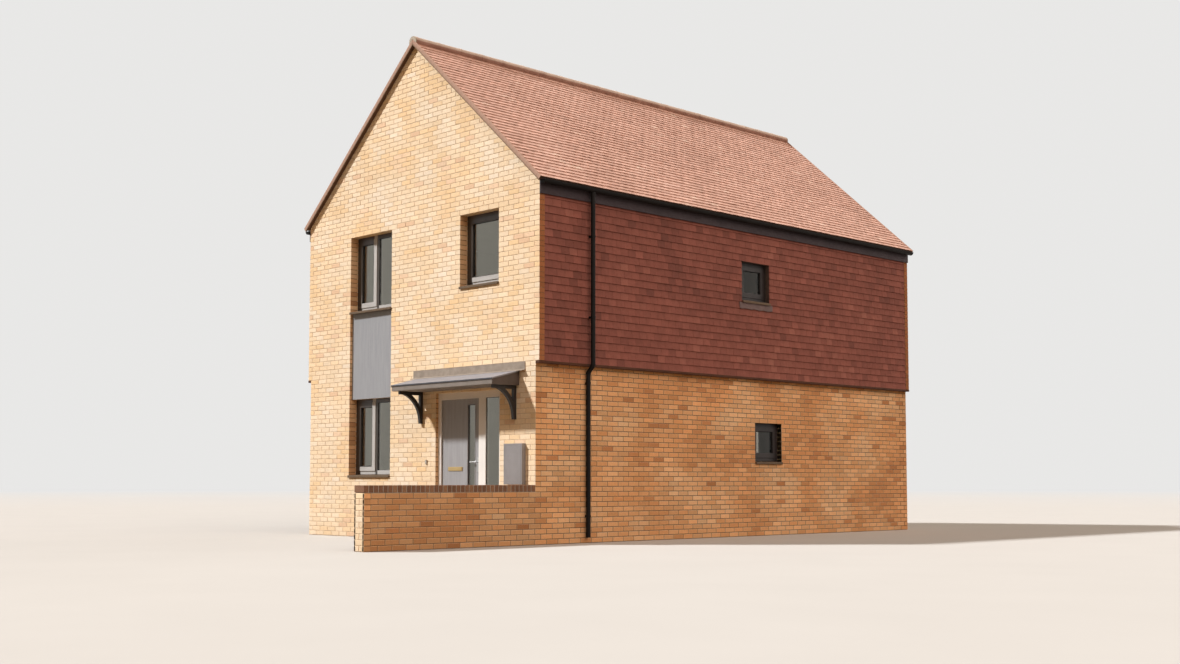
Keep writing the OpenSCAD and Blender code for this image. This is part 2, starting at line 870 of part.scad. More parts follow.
module side_window_glass() {
    color("#6f7a74") both_sides() {
        place_side(side_low, half_w - side_reveal) translate([0, 0, frame_up])
            window_panes(side_low[1], side_low[3] - side_low[2] - frame_up, 1);
        place_side(side_up, upper_x - side_reveal) translate([0, 0, frame_up])
            window_panes(side_up[1], side_up[3] - side_up[2] - frame_up, 1);
    }
}

module back_window_frames() {
    color("#7f7c7a") rotate([0, 0, 180]) face_frames();
}

module back_window_glass() {
    color("#6f7a74") rotate([0, 0, 180]) {
        face_panes();
        back_door_pane();
    }
}

module window_sills() {
    color("#cfc6ba") {
        both_ends() for (w = face_windows)
            place_face(w) window_sill(w[1], reveal_d + frame_d);
        both_sides() {
            place_side(side_low, half_w) window_sill(side_low[1], side_reveal + frame_d);
            place_side(side_up, upper_x) window_sill(side_up[1], side_reveal + frame_d);
        }
    }
}

module strip_panel() {
    block([strip_x - strip_w / 2 + panel_gap, -half_len + panel_in, low_head_z],
        [strip_x + strip_w / 2 - panel_gap, -half_len + panel_in + panel_t, up_sill_z - panel_gap]);
}

module wall_panels() {
    color("#a5a6aa") both_ends() strip_panel();
}

// Concrete threshold that fills the foot of the doorway
module threshold() {
    color("#a39d92")
        block([doorway_x0, -half_len - threshold_out, 0], [doorway_x1, -inner_y, threshold_z]);
}

// Frame of door and sidelight, rebated for a leaf that opens inwards
module door_frame() {
    color("#efe8df") difference() {
        block([doorway_x0, frame_y0, threshold_z], [doorway_x1, frame_y1, low_head_z]);
        block([stop_x0, frame_y0 - 1, frame_sill_z], [stop_x1, frame_y1 + 1, stop_top_z]);
        block([rebate_x0, frame_y0 + stop_d, frame_sill_z], [rebate_x1, frame_y1 + 1, rebate_top_z]);
        block([sidelight_x0, frame_y0 - 1, sidelight_z0], [sidelight_x1, frame_y1 + 1, stop_top_z]);
    }
}

module sidelight_pane() {
    block([sidelight_x0, frame_y0 + glass_in, sidelight_z0],
        [sidelight_x1, frame_y0 + glass_in + glass_t, stop_top_z]);
}

module knuckle(row) {
    translate([hinge_x, hinge_y, row]) cylinder(r = knuckle_r, h = knuckle_h);
}

// Fixed halves of the three hinges: a plate on the jamb and the outer knuckles
module door_hinges() {
    color("#9b9c9e") for (z = hinge_rows)
        for (row = [z - 1.5 * knuckle_h - hinge_play, z + 0.5 * knuckle_h + hinge_play]) {
            knuckle(row);
            block([hinge_x - hinge_w, frame_y1, row], [hinge_x - leaf_gap / 2, frame_y1 + hinge_t, row + knuckle_h]);
            block([hinge_x - leaf_gap / 2 - hinge_t, frame_y1, row],
                [hinge_x, hinge_y, row + knuckle_h]);
        }
}

module front_door() {
    color("#a49b95") difference() {
        block([leaf_x0, leaf_y0, leaf_z0], [leaf_x1, leaf_y1, leaf_z1]);
        block([light_x0, leaf_y0 - 1, light_z0], [light_x1, leaf_y1 + 1, light_z1]);
    }
}

module door_glass() {
    color("#7d7f72")
        block([light_x0, leaf_y0 + glass_in, light_z0], [light_x1, leaf_y0 + glass_in + glass_t, light_z1]);
}

// Bead round the glazed strip, on the leaf's street face
module light_bead() {
    difference() {
        block([light_x0 - bead_w, leaf_y0 - bead_out, light_z0 - bead_w],
            [light_x1 + bead_w, leaf_y0, light_z1 + bead_w]);
        block([light_x0, leaf_y0 - bead_out - 1, light_z0], [light_x1, leaf_y0 + 1, light_z1]);
    }
}

// Lever handle and plate on the face at y, standing out along dir
module lever_handle(y, dir) {
    x = leaf_x1 - handle_in;
    z = floor_z + handle_up;
    translate([x, y, z]) scale([1, dir, 1]) {
        block([-plate_w / 2, 0, -plate_low], [plate_w / 2, plate_t, plate_h - plate_low]);
        rotate([-90, 0, 0]) cylinder(r = lever_r, h = lever_out);
        translate([0, lever_out, 0]) rotate([0, -90, 0]) cylinder(r = lever_r, h = lever_len);
        translate([0, lever_out, 0]) sphere(r = lever_r);
        translate([-lever_len, lever_out, 0]) sphere(r = lever_r);
    }
}

// Letterbox plate with its flap
module letterbox() {
    x = leaf_x0 + letter_in;
    z = floor_z + letter_up;
    flap_in = 10;
    block([x, leaf_y0 - letter_t, z], [x + letter_w, leaf_y0, z + letter_h]);
    block([x + flap_in, leaf_y0 - letter_t - flap_in / 2, z + flap_in],
        [x + letter_w - flap_in, leaf_y0 - letter_t, z + letter_h - flap_in]);
}

// Bead, letterbox, handles and the moving halves of the hinges
module door_furniture() {
    color("#b8b2a6") {
        light_bead();
        letterbox();
        lever_handle(leaf_y0, -1);
        lever_handle(leaf_y1, 1);
        for (z = hinge_rows) {
            knuckle(z - knuckle_h / 2);
            block([leaf_x0, leaf_y1, z - knuckle_h / 2], [leaf_x0 + hinge_w, leaf_y1 + hinge_t, z + knuckle_h / 2]);
            block([hinge_x, leaf_y1, z - knuckle_h / 2],
                [leaf_x0 + hinge_t, hinge_y, z + knuckle_h / 2]);
        }
    }
}

// Turns an outline drawn outwards from the front wall into a solid along X
module out_from_wall(x0, x1) {
    translate([0, -half_len, 0]) along_x(x0, x1) mirror([1, 0]) children();
}

module canopy_roof() {
    color("#b0a9ad") out_from_wall(canopy_x0, canopy_x0 + canopy_w)
        polygon([[0, sheet_bottom(0)], [canopy_out, sheet_bottom(canopy_out)],
            [canopy_out, sheet_top(canopy_out)], [0, sheet_top(0)]]);
}

// Outline of the canopy's end boards, from the wall to depth out
module cheek_outline(out, z0) {
    polygon([[0, z0], [out, z0], [out, sheet_bottom(out)], [0, sheet_bottom(0)]]);
}

// Fascia, end boards and soffit that close the canopy under its sheet
module canopy_boards() {
    x0 = canopy_x0 + canopy_drip;
    x1 = canopy_x0 + canopy_w - canopy_drip;
    out = canopy_out - canopy_drip;
    color("#9a9492") difference() {
        out_from_wall(x0, x1) cheek_outline(out, canopy_soffit_z);
        out_from_wall(x0 + canopy_board_t, x1 - canopy_board_t)
            translate([0, canopy_board_t])
                cheek_outline(out - canopy_board_t, canopy_soffit_z);
    }
}

// Weathered flashing on the wall, with a skirt down the sheet
module canopy_flashing() {
    out = flashing_skirt;
    color("#8f857c") out_from_wall(canopy_x0 - flashing_over, canopy_x0 + canopy_w + flashing_over)
        polygon([[0, sheet_top(0)], [out, sheet_top(out)], [out, sheet_top(out) + flashing_t],
            [flashing_t, sheet_top(flashing_t) + flashing_t], [flashing_t, sheet_top(0) + flashing_h],
            [0, sheet_top(0) + flashing_h]]);
}

// Post on the wall, arm under the canopy and a concave curved brace between them
module bracket_outline() {
    top = canopy_soffit_z;
    foot = top - bracket_h;
    translate([0, foot]) square([bracket_w, bracket_h]);
    translate([0, top - bracket_w]) square([bracket_out, bracket_w]);
    intersection() {
        translate([brace_r + bracket_w / 2, foot + bracket_w / 2]) difference() {
            circle(r = brace_r + brace_w / 2, $fn = 72);
            circle(r = brace_r - brace_w / 2, $fn = 72);
        }
        translate([0, foot + bracket_w / 2]) square([bracket_out, bracket_h - bracket_w / 2]);
    }
}

module canopy_brackets() {
    color("#2a201d") for (x = [canopy_x0 + bracket_in, canopy_x0 + canopy_w - bracket_in])
        out_from_wall(x - bracket_w / 2, x + bracket_w / 2) bracket_outline();
}

// Meter box with a door inside a raised rim
module meter_box() {
    x = half_w - meter_in;
    seam = 3;
    color("#97989c") translate([x, -half_len, meter_top_z - meter_h]) difference() {
        block([-meter_w / 2, -meter_d, 0], [meter_w / 2, 0, meter_h]);
        difference() {
            block([-meter_w / 2 + meter_rim, -meter_d - 1, meter_rim],
                [meter_w / 2 - meter_rim, -meter_d + seam, meter_h - meter_rim]);
            block([-meter_w / 2 + meter_rim + seam, -meter_d - 2, meter_rim + seam],
                [meter_w / 2 - meter_rim - seam, -meter_d + 2 * seam, meter_h - meter_rim - seam]);
        }
    }
}

module garden_wall() {
    color("#c99a63")
        block([half_w - garden_t, -half_len - garden_len, 0], [half_w, -half_len, garden_h]);
}

// Brick-on-edge coping, with open joints along its top edges
module garden_wall_coping() {
    bricks = round(garden_len / coping_pitch);
    pitch = garden_len / bricks;
    color("#4d3630") difference() {
        block([half_w - garden_t, -half_len - garden_len, garden_h],
            [half_w, -half_len, garden_h + coping_h]);
        for (i = [1 : bricks - 1])
            translate([0, -half_len - garden_len + i * pitch, 0])
                block([half_w - garden_t - 1, -coping_joint / 2, garden_h + coping_h - coping_joint],
                    [half_w + 1, coping_joint / 2, garden_h + coping_h + 1]);
    }
}

// Back door in its frame, fixed shut, drawn like the front and turned round
back_x0 = -half_w + back_door_in;
back_x1 = back_x0 + back_door_w;
back_y0 = -half_len + door_reveal;
back_light_z0 = threshold_z + back_lock_h;
back_light_z1 = low_head_z - jamb_w - back_stile;

module back_door() {
    color("#a49b95") rotate([0, 0, 180]) difference() {
        block([back_x0, back_y0, threshold_z], [back_x1, back_y0 + frame_d, low_head_z]);
        block([back_x0 + jamb_w, back_y0 - 1, threshold_z + frame_sill_h],
            [back_x1 - jamb_w, back_y0 + stop_d, low_head_z - jamb_w]);
        block([back_x0 + jamb_w + back_stile, back_y0 - 1, back_light_z0],
            [back_x1 - jamb_w - back_stile, back_y0 + frame_d + 1, back_light_z1]);
    }
}

module back_door_pane() {
    block([back_x0 + jamb_w + back_stile, back_y0 + stop_d + glass_in, back_light_z0],
        [back_x1 - jamb_w - back_stile, back_y0 + stop_d + glass_in + glass_t, back_light_z1]);
}

ground_floor();
first_floor();
upper_ceiling();
front_wall_left();
front_wall_right();
front_wall_over_door();
front_gable();
back_wall();
back_gable();
right_wall_lower();
left_wall_lower();
right_wall_upper();
left_wall_upper();
right_tile_hanging();
left_tile_hanging();
tilting_boards();
right_roof();
left_roof();
ridge_tiles();
ridge_ends();
verges();
fascias();
gutters();
downpipes();
front_window_frames();
front_window_glass();
side_window_frames();
side_window_glass();
back_window_frames();
back_window_glass();
window_sills();
wall_panels();
threshold();
door_frame();
door_hinges();
front_door();
door_glass();
door_furniture();
canopy_roof();
canopy_boards();
canopy_flashing();
canopy_brackets();
meter_box();
garden_wall();
garden_wall_coping();
back_door();
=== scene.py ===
"""Looks of a two-storey gabled brick house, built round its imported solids."""
import itertools
import math
import random

import bmesh
import bpy
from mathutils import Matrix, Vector, noise


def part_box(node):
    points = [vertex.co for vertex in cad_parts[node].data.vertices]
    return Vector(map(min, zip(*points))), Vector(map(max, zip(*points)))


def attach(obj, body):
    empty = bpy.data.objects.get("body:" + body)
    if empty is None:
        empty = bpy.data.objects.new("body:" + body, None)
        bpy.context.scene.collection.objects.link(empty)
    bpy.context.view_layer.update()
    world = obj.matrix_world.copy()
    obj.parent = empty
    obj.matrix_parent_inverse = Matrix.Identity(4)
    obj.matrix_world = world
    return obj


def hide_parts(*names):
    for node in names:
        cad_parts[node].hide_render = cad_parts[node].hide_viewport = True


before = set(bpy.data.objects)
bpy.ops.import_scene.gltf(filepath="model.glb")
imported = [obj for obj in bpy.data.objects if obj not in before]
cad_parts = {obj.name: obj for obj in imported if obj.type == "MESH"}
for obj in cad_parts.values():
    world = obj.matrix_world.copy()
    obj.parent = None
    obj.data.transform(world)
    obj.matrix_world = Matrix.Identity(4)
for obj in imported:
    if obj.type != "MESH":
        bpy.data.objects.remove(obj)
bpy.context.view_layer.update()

# Bodies, the tolerance for planes that meet, and the draws
HOUSE = "house"
LEAF = "front_door_leaf"
NEAR = 0.0006
rng = random.Random(41)


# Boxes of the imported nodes

def box(node):
    """Lowest and highest corners of a node."""
    low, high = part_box(node)
    return Vector(low), Vector(high)


def solids(node):
    """Boxes of the separate solids in a node, as pairs of corners."""
    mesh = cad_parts[node].data
    keys = [tuple(round(c, 4) for c in v.co) for v in mesh.vertices]
    group_of = {key: [key] for key in keys}
    for poly in mesh.polygons:
        group = group_of[keys[poly.vertices[0]]]
        for index in poly.vertices:
            other = group_of[keys[index]]
            if other is not group:
                group += other
                group_of.update((key, group) for key in other)
    groups = {id(group): group for group in group_of.values()}.values()
    boxes = [(Vector([*map(min, zip(*g))]), Vector([*map(max, zip(*g))])) for g in groups]
    return sorted(boxes, key=lambda pair: tuple(pair[0]))


# Planes of the house, in metres, read from its nodes

FRONT_Y = box("front_wall_left")[0].y
BACK_Y = box("back_wall")[1].y
SIDE_X = box("right_wall_lower")[1].x
UPPER_X = box("front_gable")[1].x
STOREY_Z = box("front_wall_left")[1].z
APEX_Z = box("front_gable")[1].z
INNER_X = box("right_wall_lower")[0].x
INNER_Y = -box("front_wall_left")[1].y
RETURN_Y = -box("right_tile_hanging")[0].y
ROOF_END_Y = box("right_roof")[1].y
GARDEN_LOW, GARDEN_HIGH = box("garden_wall")
LEAF_Y = box("front_door")[0].y

# Roof slopes: half width of the bed, rise over run, pitch and length
BED_X = 2.977
ROOF_SLOPE = 0.88
PITCH = math.atan(ROOF_SLOPE)
SLOPE_LEN = BED_X / math.cos(PITCH)

# Masonry: course and half brick with their joints, bricks, mortar, and where walls change
COURSE = 0.075
HALF = 0.1125
JOINT = 0.01
BRICK_DEPTH = 0.1025
BRICK_LEN = 0.215
SKIN = 0.03
MORTAR_IN = 0.005
ARRIS = 0.0025
MOST_SUNK = 0.0014
LEAST_AREA = 0.0004
STOREY_COURSE = 35
GABLE_TOP_COURSE = 105
GARDEN_COURSE = 10

# Roof and hung tiles: size and gaps, courses and their height on the bed, verge and ridge
TILE_W = 0.165
TILE_T = 0.012
TILE_GAP = 0.0022
LEAST_TILE = 0.025
HEAD_LAP = 0.004
RIDGE_GAP = 0.04
ROOF_GAUGE = 0.1
ROOF_TILE_N = 0.038
UNDERLAY_N = 0.03
HANG_GAUGE = 0.113
HANG_IN = 0.014
VERGE_DROP = 0.012
RIDGE_RISE = 0.13
RIDGE_SHARE = 0.68

# Holes in the walls: spans along X, levels, and depths of the reveals
STRIP = (-1.72, -0.59)
SMALL = (1.145, 2.045)
DOOR = (0.58, 2.08)
BACK_DOOR = (0.435, 1.385)
LOW_SILL, LOW_HEAD, UP_SILL, UP_HEAD, SMALL_SILL = 0.975, 2.25, 3.675, 4.95, 3.825
REVEAL, DOOR_REVEAL, SIDE_REVEAL = 0.145, 0.062, 0.1
PANEL_IN = solids("wall_panels")[0][0].y - FRONT_Y + 0.012
SIDE_LOW = (0.22, 0.93, 1.2, 1.875, SIDE_REVEAL)
SIDE_UP = (-0.18, 0.54, 3.868, 4.546)
FACE_HOLES = [
    (*STRIP, LOW_SILL, LOW_HEAD, REVEAL),
    (*STRIP, LOW_HEAD, UP_SILL, PANEL_IN),
    (*STRIP, UP_SILL, UP_HEAD, REVEAL),
    (*SMALL, SMALL_SILL, UP_HEAD, REVEAL),
]
FRONT_HOLES = FACE_HOLES + [(*DOOR, -1.0, LOW_HEAD, DOOR_REVEAL)]
BACK_HOLES = FACE_HOLES + [(*BACK_DOOR, 0.15, LOW_HEAD, DOOR_REVEAL)]

# Pale members of the window frames: height of the foot rails, stile and rails along X. The other
# members carry painted shade.
FRAME_FEET = (LOW_SILL, UP_SILL, SMALL_SILL)
PALE_RAIL = 0.165
PALE_STILE = (-1.262, -1.176)
PALE_SPANS = ((-1.589, -1.176), (-1.118, -0.651), (1.276, 2.000))

# Furniture of the front door
LETTERBOX_X, LETTERBOX_Z = (0.78, 1.16), (1.05, 1.13)
BEAD_X = (1.24, 1.453)
HANDLE_X, HANDLE_PROUD = 1.34, 0.0065

# Softened edges
SAME_POINT = 0.00002
FLAT, SHARP = math.radians(0.6), math.radians(35)


# Mesh building

PLAIN = (0.5, 0.5, 0.0)


class Mesher:
    """Gathers faces with a material index, and a tint at each point."""

    def __init__(self):
        self.points = []
        self.tints = []
        self.faces = []
        self.kinds = []

    def add(self, points, faces, kind=0, tint=PLAIN):
        """Tint is one for all the points, or a list with one for each."""
        start = len(self.points)
        self.points.extend(points)
        self.tints.extend(tint if isinstance(tint, list) else [tint] * len(points))
        self.faces.extend([start + i for i in face] for face in faces)
        self.kinds.extend([kind] * len(faces))

    def slab(self, place, outline, depth, arris, kind=0, tint=PLAIN, sink=0.0):
        """Prism behind a flat outline, with its front edges chamfered and its back open."""
        count = len(outline)
        inner = inset(outline, arris)
        rings = [(inner, sink), (outline, sink + arris), (outline, depth)]
        points = [place(u, z, d) for ring, d in rings for u, z in ring]
        faces = [list(range(count))]
        for row in (0, count):
            for i in range(count):
                j = (i + 1) % count
                faces.append([row + i, row + count + i, row + count + j, row + j])
        self.add(points, faces, kind, tint)

    def block(self, low, high, arris, kind=0, tint=PLAIN):
        """Box with all its edges chamfered. Each corner has three points, one near each face."""
        corners = list(itertools.product((0, 1), repeat=3))
        points = [tuple((low, high)[side[i]][i] + (0 if i == axis else (arris, -arris)[side[i]])
                        for i in range(3)) for side in corners for axis in range(3)]

        def at(axis, end, sp, sq, face):
            """Point near a face, at the corner with these ends along an axis and the next two."""
            side = [0, 0, 0]
            side[axis], side[(axis + 1) % 3], side[(axis + 2) % 3] = end, sp, sq
            return 3 * corners.index(tuple(side)) + face

        faces = []
        for axis in range(3):
            p, q = (axis + 1) % 3, (axis + 2) % 3
            for end in (0, 1):
                ring = [at(axis, end, *ends, axis) for ends in ((0, 0), (1, 0), (1, 1), (0, 1))]
                faces.append(ring if end else ring[::-1])
            for sp, sq in itertools.product((0, 1), repeat=2):
                ring = [at(axis, end, sp, sq, face)
                        for end, face in ((0, p), (1, p), (1, q), (0, q))]
                faces.append(ring if sp != sq else ring[::-1])
        for side in corners:
            ring = [at(0, *side, face) for face in range(3)]
            faces.append(ring if sum(side) % 2 else ring[::-1])
        self.add(points, faces, kind, tint)

    def tile(self, place, u0, u1, v0, v1, thick, camber, tint, head=0.62):
        """Cambered tile that leans out to its lower edge, with painted shade at its foot and head.
        """
        mid = (u0 + u1) / 2
        top = [(u0, 0.0), (mid, camber), (u1, 0.0)]
        points = [place(u, v0, thick + c) for u, c in top]
        points += [place(u, v1, c) for u, c in top]
        points += [place(u, v0, 0.0) for u, c in top]
        faces = [[0, 1, 4, 3], [1, 2, 5, 4], [6, 7, 1, 0], [7, 8, 2, 1], [6, 0, 3], [2, 8, 5]]
        tone, light, mark = tint
        # Painted shade: the head under the next tile and the foot take a lower brightness.
        tints = [(tone, light * share, mark) for share in (1.0, head, 0.0) for _ in top]
        self.add(points, faces, 0, tints)

    def core(self, node, move, kind_of):
        """Copy of a node's mesh, with every point moved by a rule."""
        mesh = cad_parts[node].data
        points = [move(v.co.x, v.co.y, v.co.z) for v in mesh.vertices]
        start = len(self.points)
        self.points.extend(points)
        self.tints.extend([PLAIN] * len(points))
        for poly in mesh.polygons:
            self.faces.append([start + i for i in poly.vertices])
            self.kinds.append(kind_of(poly.center, poly.normal))

    def piece(self, name, materials, body=HOUSE, replaced=(), slot=None, smooth=False):
        mesh = bpy.data.meshes.new(name)
        mesh.from_pydata(self.points, [], self.faces)
        for material in materials:
            mesh.materials.append(material)
        mesh.polygons.foreach_set("material_index", self.kinds)
        tints = mesh.color_attributes.new("tint", "FLOAT_COLOR", "POINT")
        values = [c for tint in self.tints for c in (*tint, 1.0)]
        tints.data.foreach_set("color", values)
        mesh.polygons.foreach_set("use_smooth", [smooth] * len(mesh.polygons))
        mesh.update()
        return finished(bpy.data.objects.new(name, mesh), body, replaced)


def finished(piece, body=HOUSE, replaced=()):
    """Links a piece, sets it on its body and hides the nodes it replaces."""
    if piece.name not in bpy.context.scene.collection.objects:
        bpy.context.scene.collection.objects.link(piece)
    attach(piece, body)
    if replaced:
        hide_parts(*replaced)
    return piece


def inset(outline, amount):
    """Convex outline, counterclockwise, with every edge moved in."""
    count = len(outline)
    normals = []
    for i in range(count):
        (u0, z0), (u1, z1) = outline[i], outline[(i + 1) % count]
        length = math.hypot(u1 - u0, z1 - z0)
        normals.append(((z0 - z1) / length, (u1 - u0) / length))
    inner = []
    for i in range(count):
        (ax, az), (bx, bz) = normals[i - 1], normals[i]
        share = amount / max(1 + ax * bx + az * bz, 0.25)
        inner.append((outline[i][0] + (ax + bx) * share, outline[i][1] + (az + bz) * share))
    return inner


def clipped(outline, a, b, limit):
    """Part of a convex outline where a * u + b * z stays under a limit."""
    kept = []
    for i, point in enumerate(outline):
        after = outline[(i + 1) % len(outline)]
        here = a * point[0] + b * point[1] - limit
        there = a * after[0] + b * after[1] - limit
        if here <= 0:
            kept.append(point)
        if here * there < 0:
            share = here / (here - there)
            kept.append((point[0] + (after[0] - point[0]) * share,
                         point[1] + (after[1] - point[1]) * share))
    return kept


def outline_area(outline):
    total = 0.0
    for i, (u, z) in enumerate(outline):
        after = outline[(i + 1) % len(outline)]
        total += u * after[1] - after[0] * z
    return total / 2


# Places on the faces of the house: u runs to the right, seen from outside

def on_front(u, z, d):
    return (u, FRONT_Y + d, z)


def on_back(u, z, d):
    return (-u, BACK_Y - d, z)


def on_right(u, z, d):
    return (SIDE_X - d, u, z)


def on_left(u, z, d):
    return (-SIDE_X + d, -u, z)


def on_garden_left(u, z, d):
    return (GARDEN_LOW.x + d, -u, z)


def on_garden_end(u, z, d):
    return (u, GARDEN_LOW.y + d, z)


# Procedural materials

MATERIALS = {}


class Look:
    """One material, built node by node round its shader."""

    def __init__(self, name, color=(0.5, 0.5, 0.5), roughness=0.7, metallic=0.0, specular=0.5):
        self.material = MATERIALS[name] = bpy.data.materials.new(name)
        self.material.use_nodes = True
        self.tree = self.material.node_tree
        self.shader = self.tree.nodes["Principled BSDF"]
        self.set("Base Color", (*color, 1))
        self.set("Roughness", roughness)
        self.set("Metallic", metallic)
        self.set("Specular IOR Level", specular)
        self.point = self.add("ShaderNodeTexCoord").outputs["Object"]

    def add(self, kind, inputs=None, **settings):
        """New node, with its settings and what goes into its sockets."""
        node = self.tree.nodes.new(kind)
        for key, value in settings.items():
            setattr(node, key, value)
        for key, value in (inputs or {}).items():
            self.feed(node.inputs[key], value)
        return node

    def set(self, socket, value):
        """Puts a value or another node's output on one of the shader's sockets."""
        self.feed(self.shader.inputs[socket], value)

    def feed(self, socket, value):
        if isinstance(value, bpy.types.NodeSocket):
            self.tree.links.new(value, socket)
        elif isinstance(value, tuple) and len(value) == 3 and socket.type == "RGBA":
            socket.default_value = (*value, 1)
        else:
            socket.default_value = value

    def noise(self, scale, detail, stretch=None):
        point = self.point
        if stretch:
            mapping = self.add("ShaderNodeMapping", {"Vector": point, "Scale": stretch})
            point = mapping.outputs["Vector"]
        return self.add("ShaderNodeTexNoise", {"Vector": point, "Scale": scale, "Detail": detail,
                                               "Roughness": 0.55}).outputs["Fac"]

    def ramp(self, value, *stops):
        node = self.add("ShaderNodeValToRGB", {"Fac": value})
        elements = node.color_ramp.elements
        while len(elements) < len(stops):
            elements.new(0.5)
        for element, (position, color) in zip(elements, stops):
            element.position = position
            tone = (color,) * 3 if isinstance(color, (int, float)) else color
            element.color = (*tone, 1)
        return node.outputs["Color"]

    def mix(self, factor, first, second, mode="MIX"):
        return self.add("ShaderNodeMix", {0: factor, 6: first, 7: second}, data_type="RGBA",
                        blend_type=mode).outputs[2]

    def tint(self):
        """The three channels of the points' tint."""
        color = self.add("ShaderNodeAttribute", attribute_name="tint").outputs["Color"]
        return self.add("ShaderNodeSeparateColor", {"Color": color}).outputs

    def calc(self, operation, first, second=0.0):
        return self.add("ShaderNodeMath", {0: first, 1: second}, operation=operation).outputs[0]

    def axes(self, vector=None):
        """X, Y and Z of a vector, or of the point on the object."""
        return self.add("ShaderNodeSeparateXYZ", {0: vector or self.point}).outputs

    def normal_axis(self, index):
        return self.axes(self.add("ShaderNodeNewGeometry").outputs["Normal"])[index]

    def to_side(self):
        """1 on faces that look along X, and 0 on the front and the back."""
        return self.ramp(self.calc("ABSOLUTE", self.normal_axis(0)), (0.8, 0.0), (0.92, 1.0))

    def indoors(self):
        """1 behind the window frames, and 0 outside them."""
        x, y, _ = self.axes()
        deep_x = self.calc("LESS_THAN", self.calc("ABSOLUTE", x), SIDE_X - 0.1)
        deep_y = self.calc("LESS_THAN", self.calc("ABSOLUTE", y), BACK_Y - 0.133)
        return self.calc("MULTIPLY", deep_x, deep_y)

    def relief(self, *layers):
        """Bump of noises, each with a scale, a detail and a depth in metres."""
        under = {}
        for scale, detail, depth in layers:
            node = self.add("ShaderNodeBump", {"Height": self.noise(scale, detail),
                                               "Distance": depth, **under})
            under = {"Normal": node.outputs["Normal"]}
        self.set("Normal", under["Normal"])

    def tones(self, scale, detail, dark, light, stretch=None, reach=0.2):
        """Noise that runs between two colours."""
        value = self.noise(scale, detail, stretch)
        return self.ramp(value, (0.5 - reach, dark), (0.5 + reach, light))

    def worn(self, strength, color, scale, detail, low, high):
        """A colour times a noise that runs between two shades."""
        shade = self.ramp(self.noise(scale, detail), low, high)
        return self.mix(strength, color, shade, "MULTIPLY")

    def done(self, color, *layers):
        """Puts on the colour and the relief."""
        self.set("Base Color", color)
        self.relief(*layers)


def brick_look():
    """Buff bricks: cream on the front and back, and darker and warmer on the faces to the sides as
    painted shade, darkest on the returns beside the hung tiles.
    """
    look = Look("brick", roughness=0.92, specular=0.25)
    tone, light, _ = look.tint()
    cream = look.ramp(tone, (0.00, (0.925, 0.81, 0.67)), (0.25, (0.915, 0.765, 0.58)),
                      (0.5, (0.905, 0.71, 0.485)), (0.68, (0.885, 0.645, 0.38)),
                      (0.84, (0.895, 0.68, 0.49)), (1.00, (0.8, 0.56, 0.375)))
    # Darker, warmer tones for the faces to the sides: painted shade.
    shaded_side_tone = look.ramp(tone, (0.00, (0.92, 0.62, 0.365)), (0.3, (0.88, 0.52, 0.27)),
                     (0.6, (0.8, 0.415, 0.192)), (0.9, (0.6, 0.285, 0.128)))
    side, out = look.to_side(), look.calc("ABSOLUTE", look.axes()[0])
    shaded_returns = look.calc("GREATER_THAN", out, SIDE_X + 0.03)
    in_reveals = look.calc("LESS_THAN", out, SIDE_X - 0.3)
    # The returns beside the hung tiles take a dark brown: painted shade.
    shaded_side_tone = look.mix(shaded_returns, shaded_side_tone, (0.4, 0.165, 0.075))
    # In the reveals the painted side shade is toned a little less orange.
    shaded_side_tone = look.mix(in_reveals, shaded_side_tone, look.mix(1.0, shaded_side_tone, (0.84, 0.96, 1.08), "MULTIPLY"))
    shade = look.mix(side, look.ramp(light, (0.0, 0.9), (1.0, 1.05)),
                     look.ramp(light, (0.0, 0.72), (1.0, 1.15)))
    color = look.mix(1.0, look.mix(side, cream, shaded_side_tone), shade, "MULTIPLY")
    color = look.worn(0.8, color, 26, 4, (0.36, 0.95), (0.62, 1.03))
    color = look.worn(0.7, color, 330, 3, (0.3, 0.82), (0.52, 1.05))
    look.done(color, (300, 4, 0.0011), (45, 3, 0.0022))


def plaster_color(look):
    return look.tones(3, 4, (0.72, 0.7, 0.66), (0.79, 0.77, 0.73))


def mortar_look():
    """Pale joints on the front, much darker on the sides as painted shade, and plaster behind the
    windows.
    """
    look = Look("mortar", roughness=0.95, specular=0.2)
    front = look.tones(60, 5, (0.64, 0.505, 0.36), (0.79, 0.63, 0.465))
    # Dark brown joints on the faces to the sides: painted shade.
    shaded_sides = look.tones(60, 5, (0.185, 0.1, 0.055), (0.29, 0.16, 0.09))
    color = look.mix(look.to_side(), front, shaded_sides)
    look.done(look.mix(look.indoors(), color, plaster_color(look)), (420, 3, 0.0009))


def plaster_look():
    look = Look("plaster", roughness=0.9, specular=0.3)
    look.done(plaster_color(look), (120, 4, 0.0006))


def block_look():
    """Blockwork, dark where it shows beside the side windows and plastered indoors."""
    look = Look("blockwork", roughness=0.95, specular=0.2)
    color = look.tones(90, 5, (0.062, 0.052, 0.046), (0.09, 0.076, 0.068))
    look.done(look.mix(look.indoors(), color, plaster_color(look)), (260, 4, 0.002))


def concrete_look():
    look = Look("concrete", roughness=0.88, specular=0.3)
    color = look.tones(14, 6, (0.36, 0.34, 0.3), (0.49, 0.46, 0.41))
    color = look.worn(0.6, color, 260, 3, (0.35, 0.8), (0.6, 1.04))
    look.done(color, (240, 4, 0.0008))


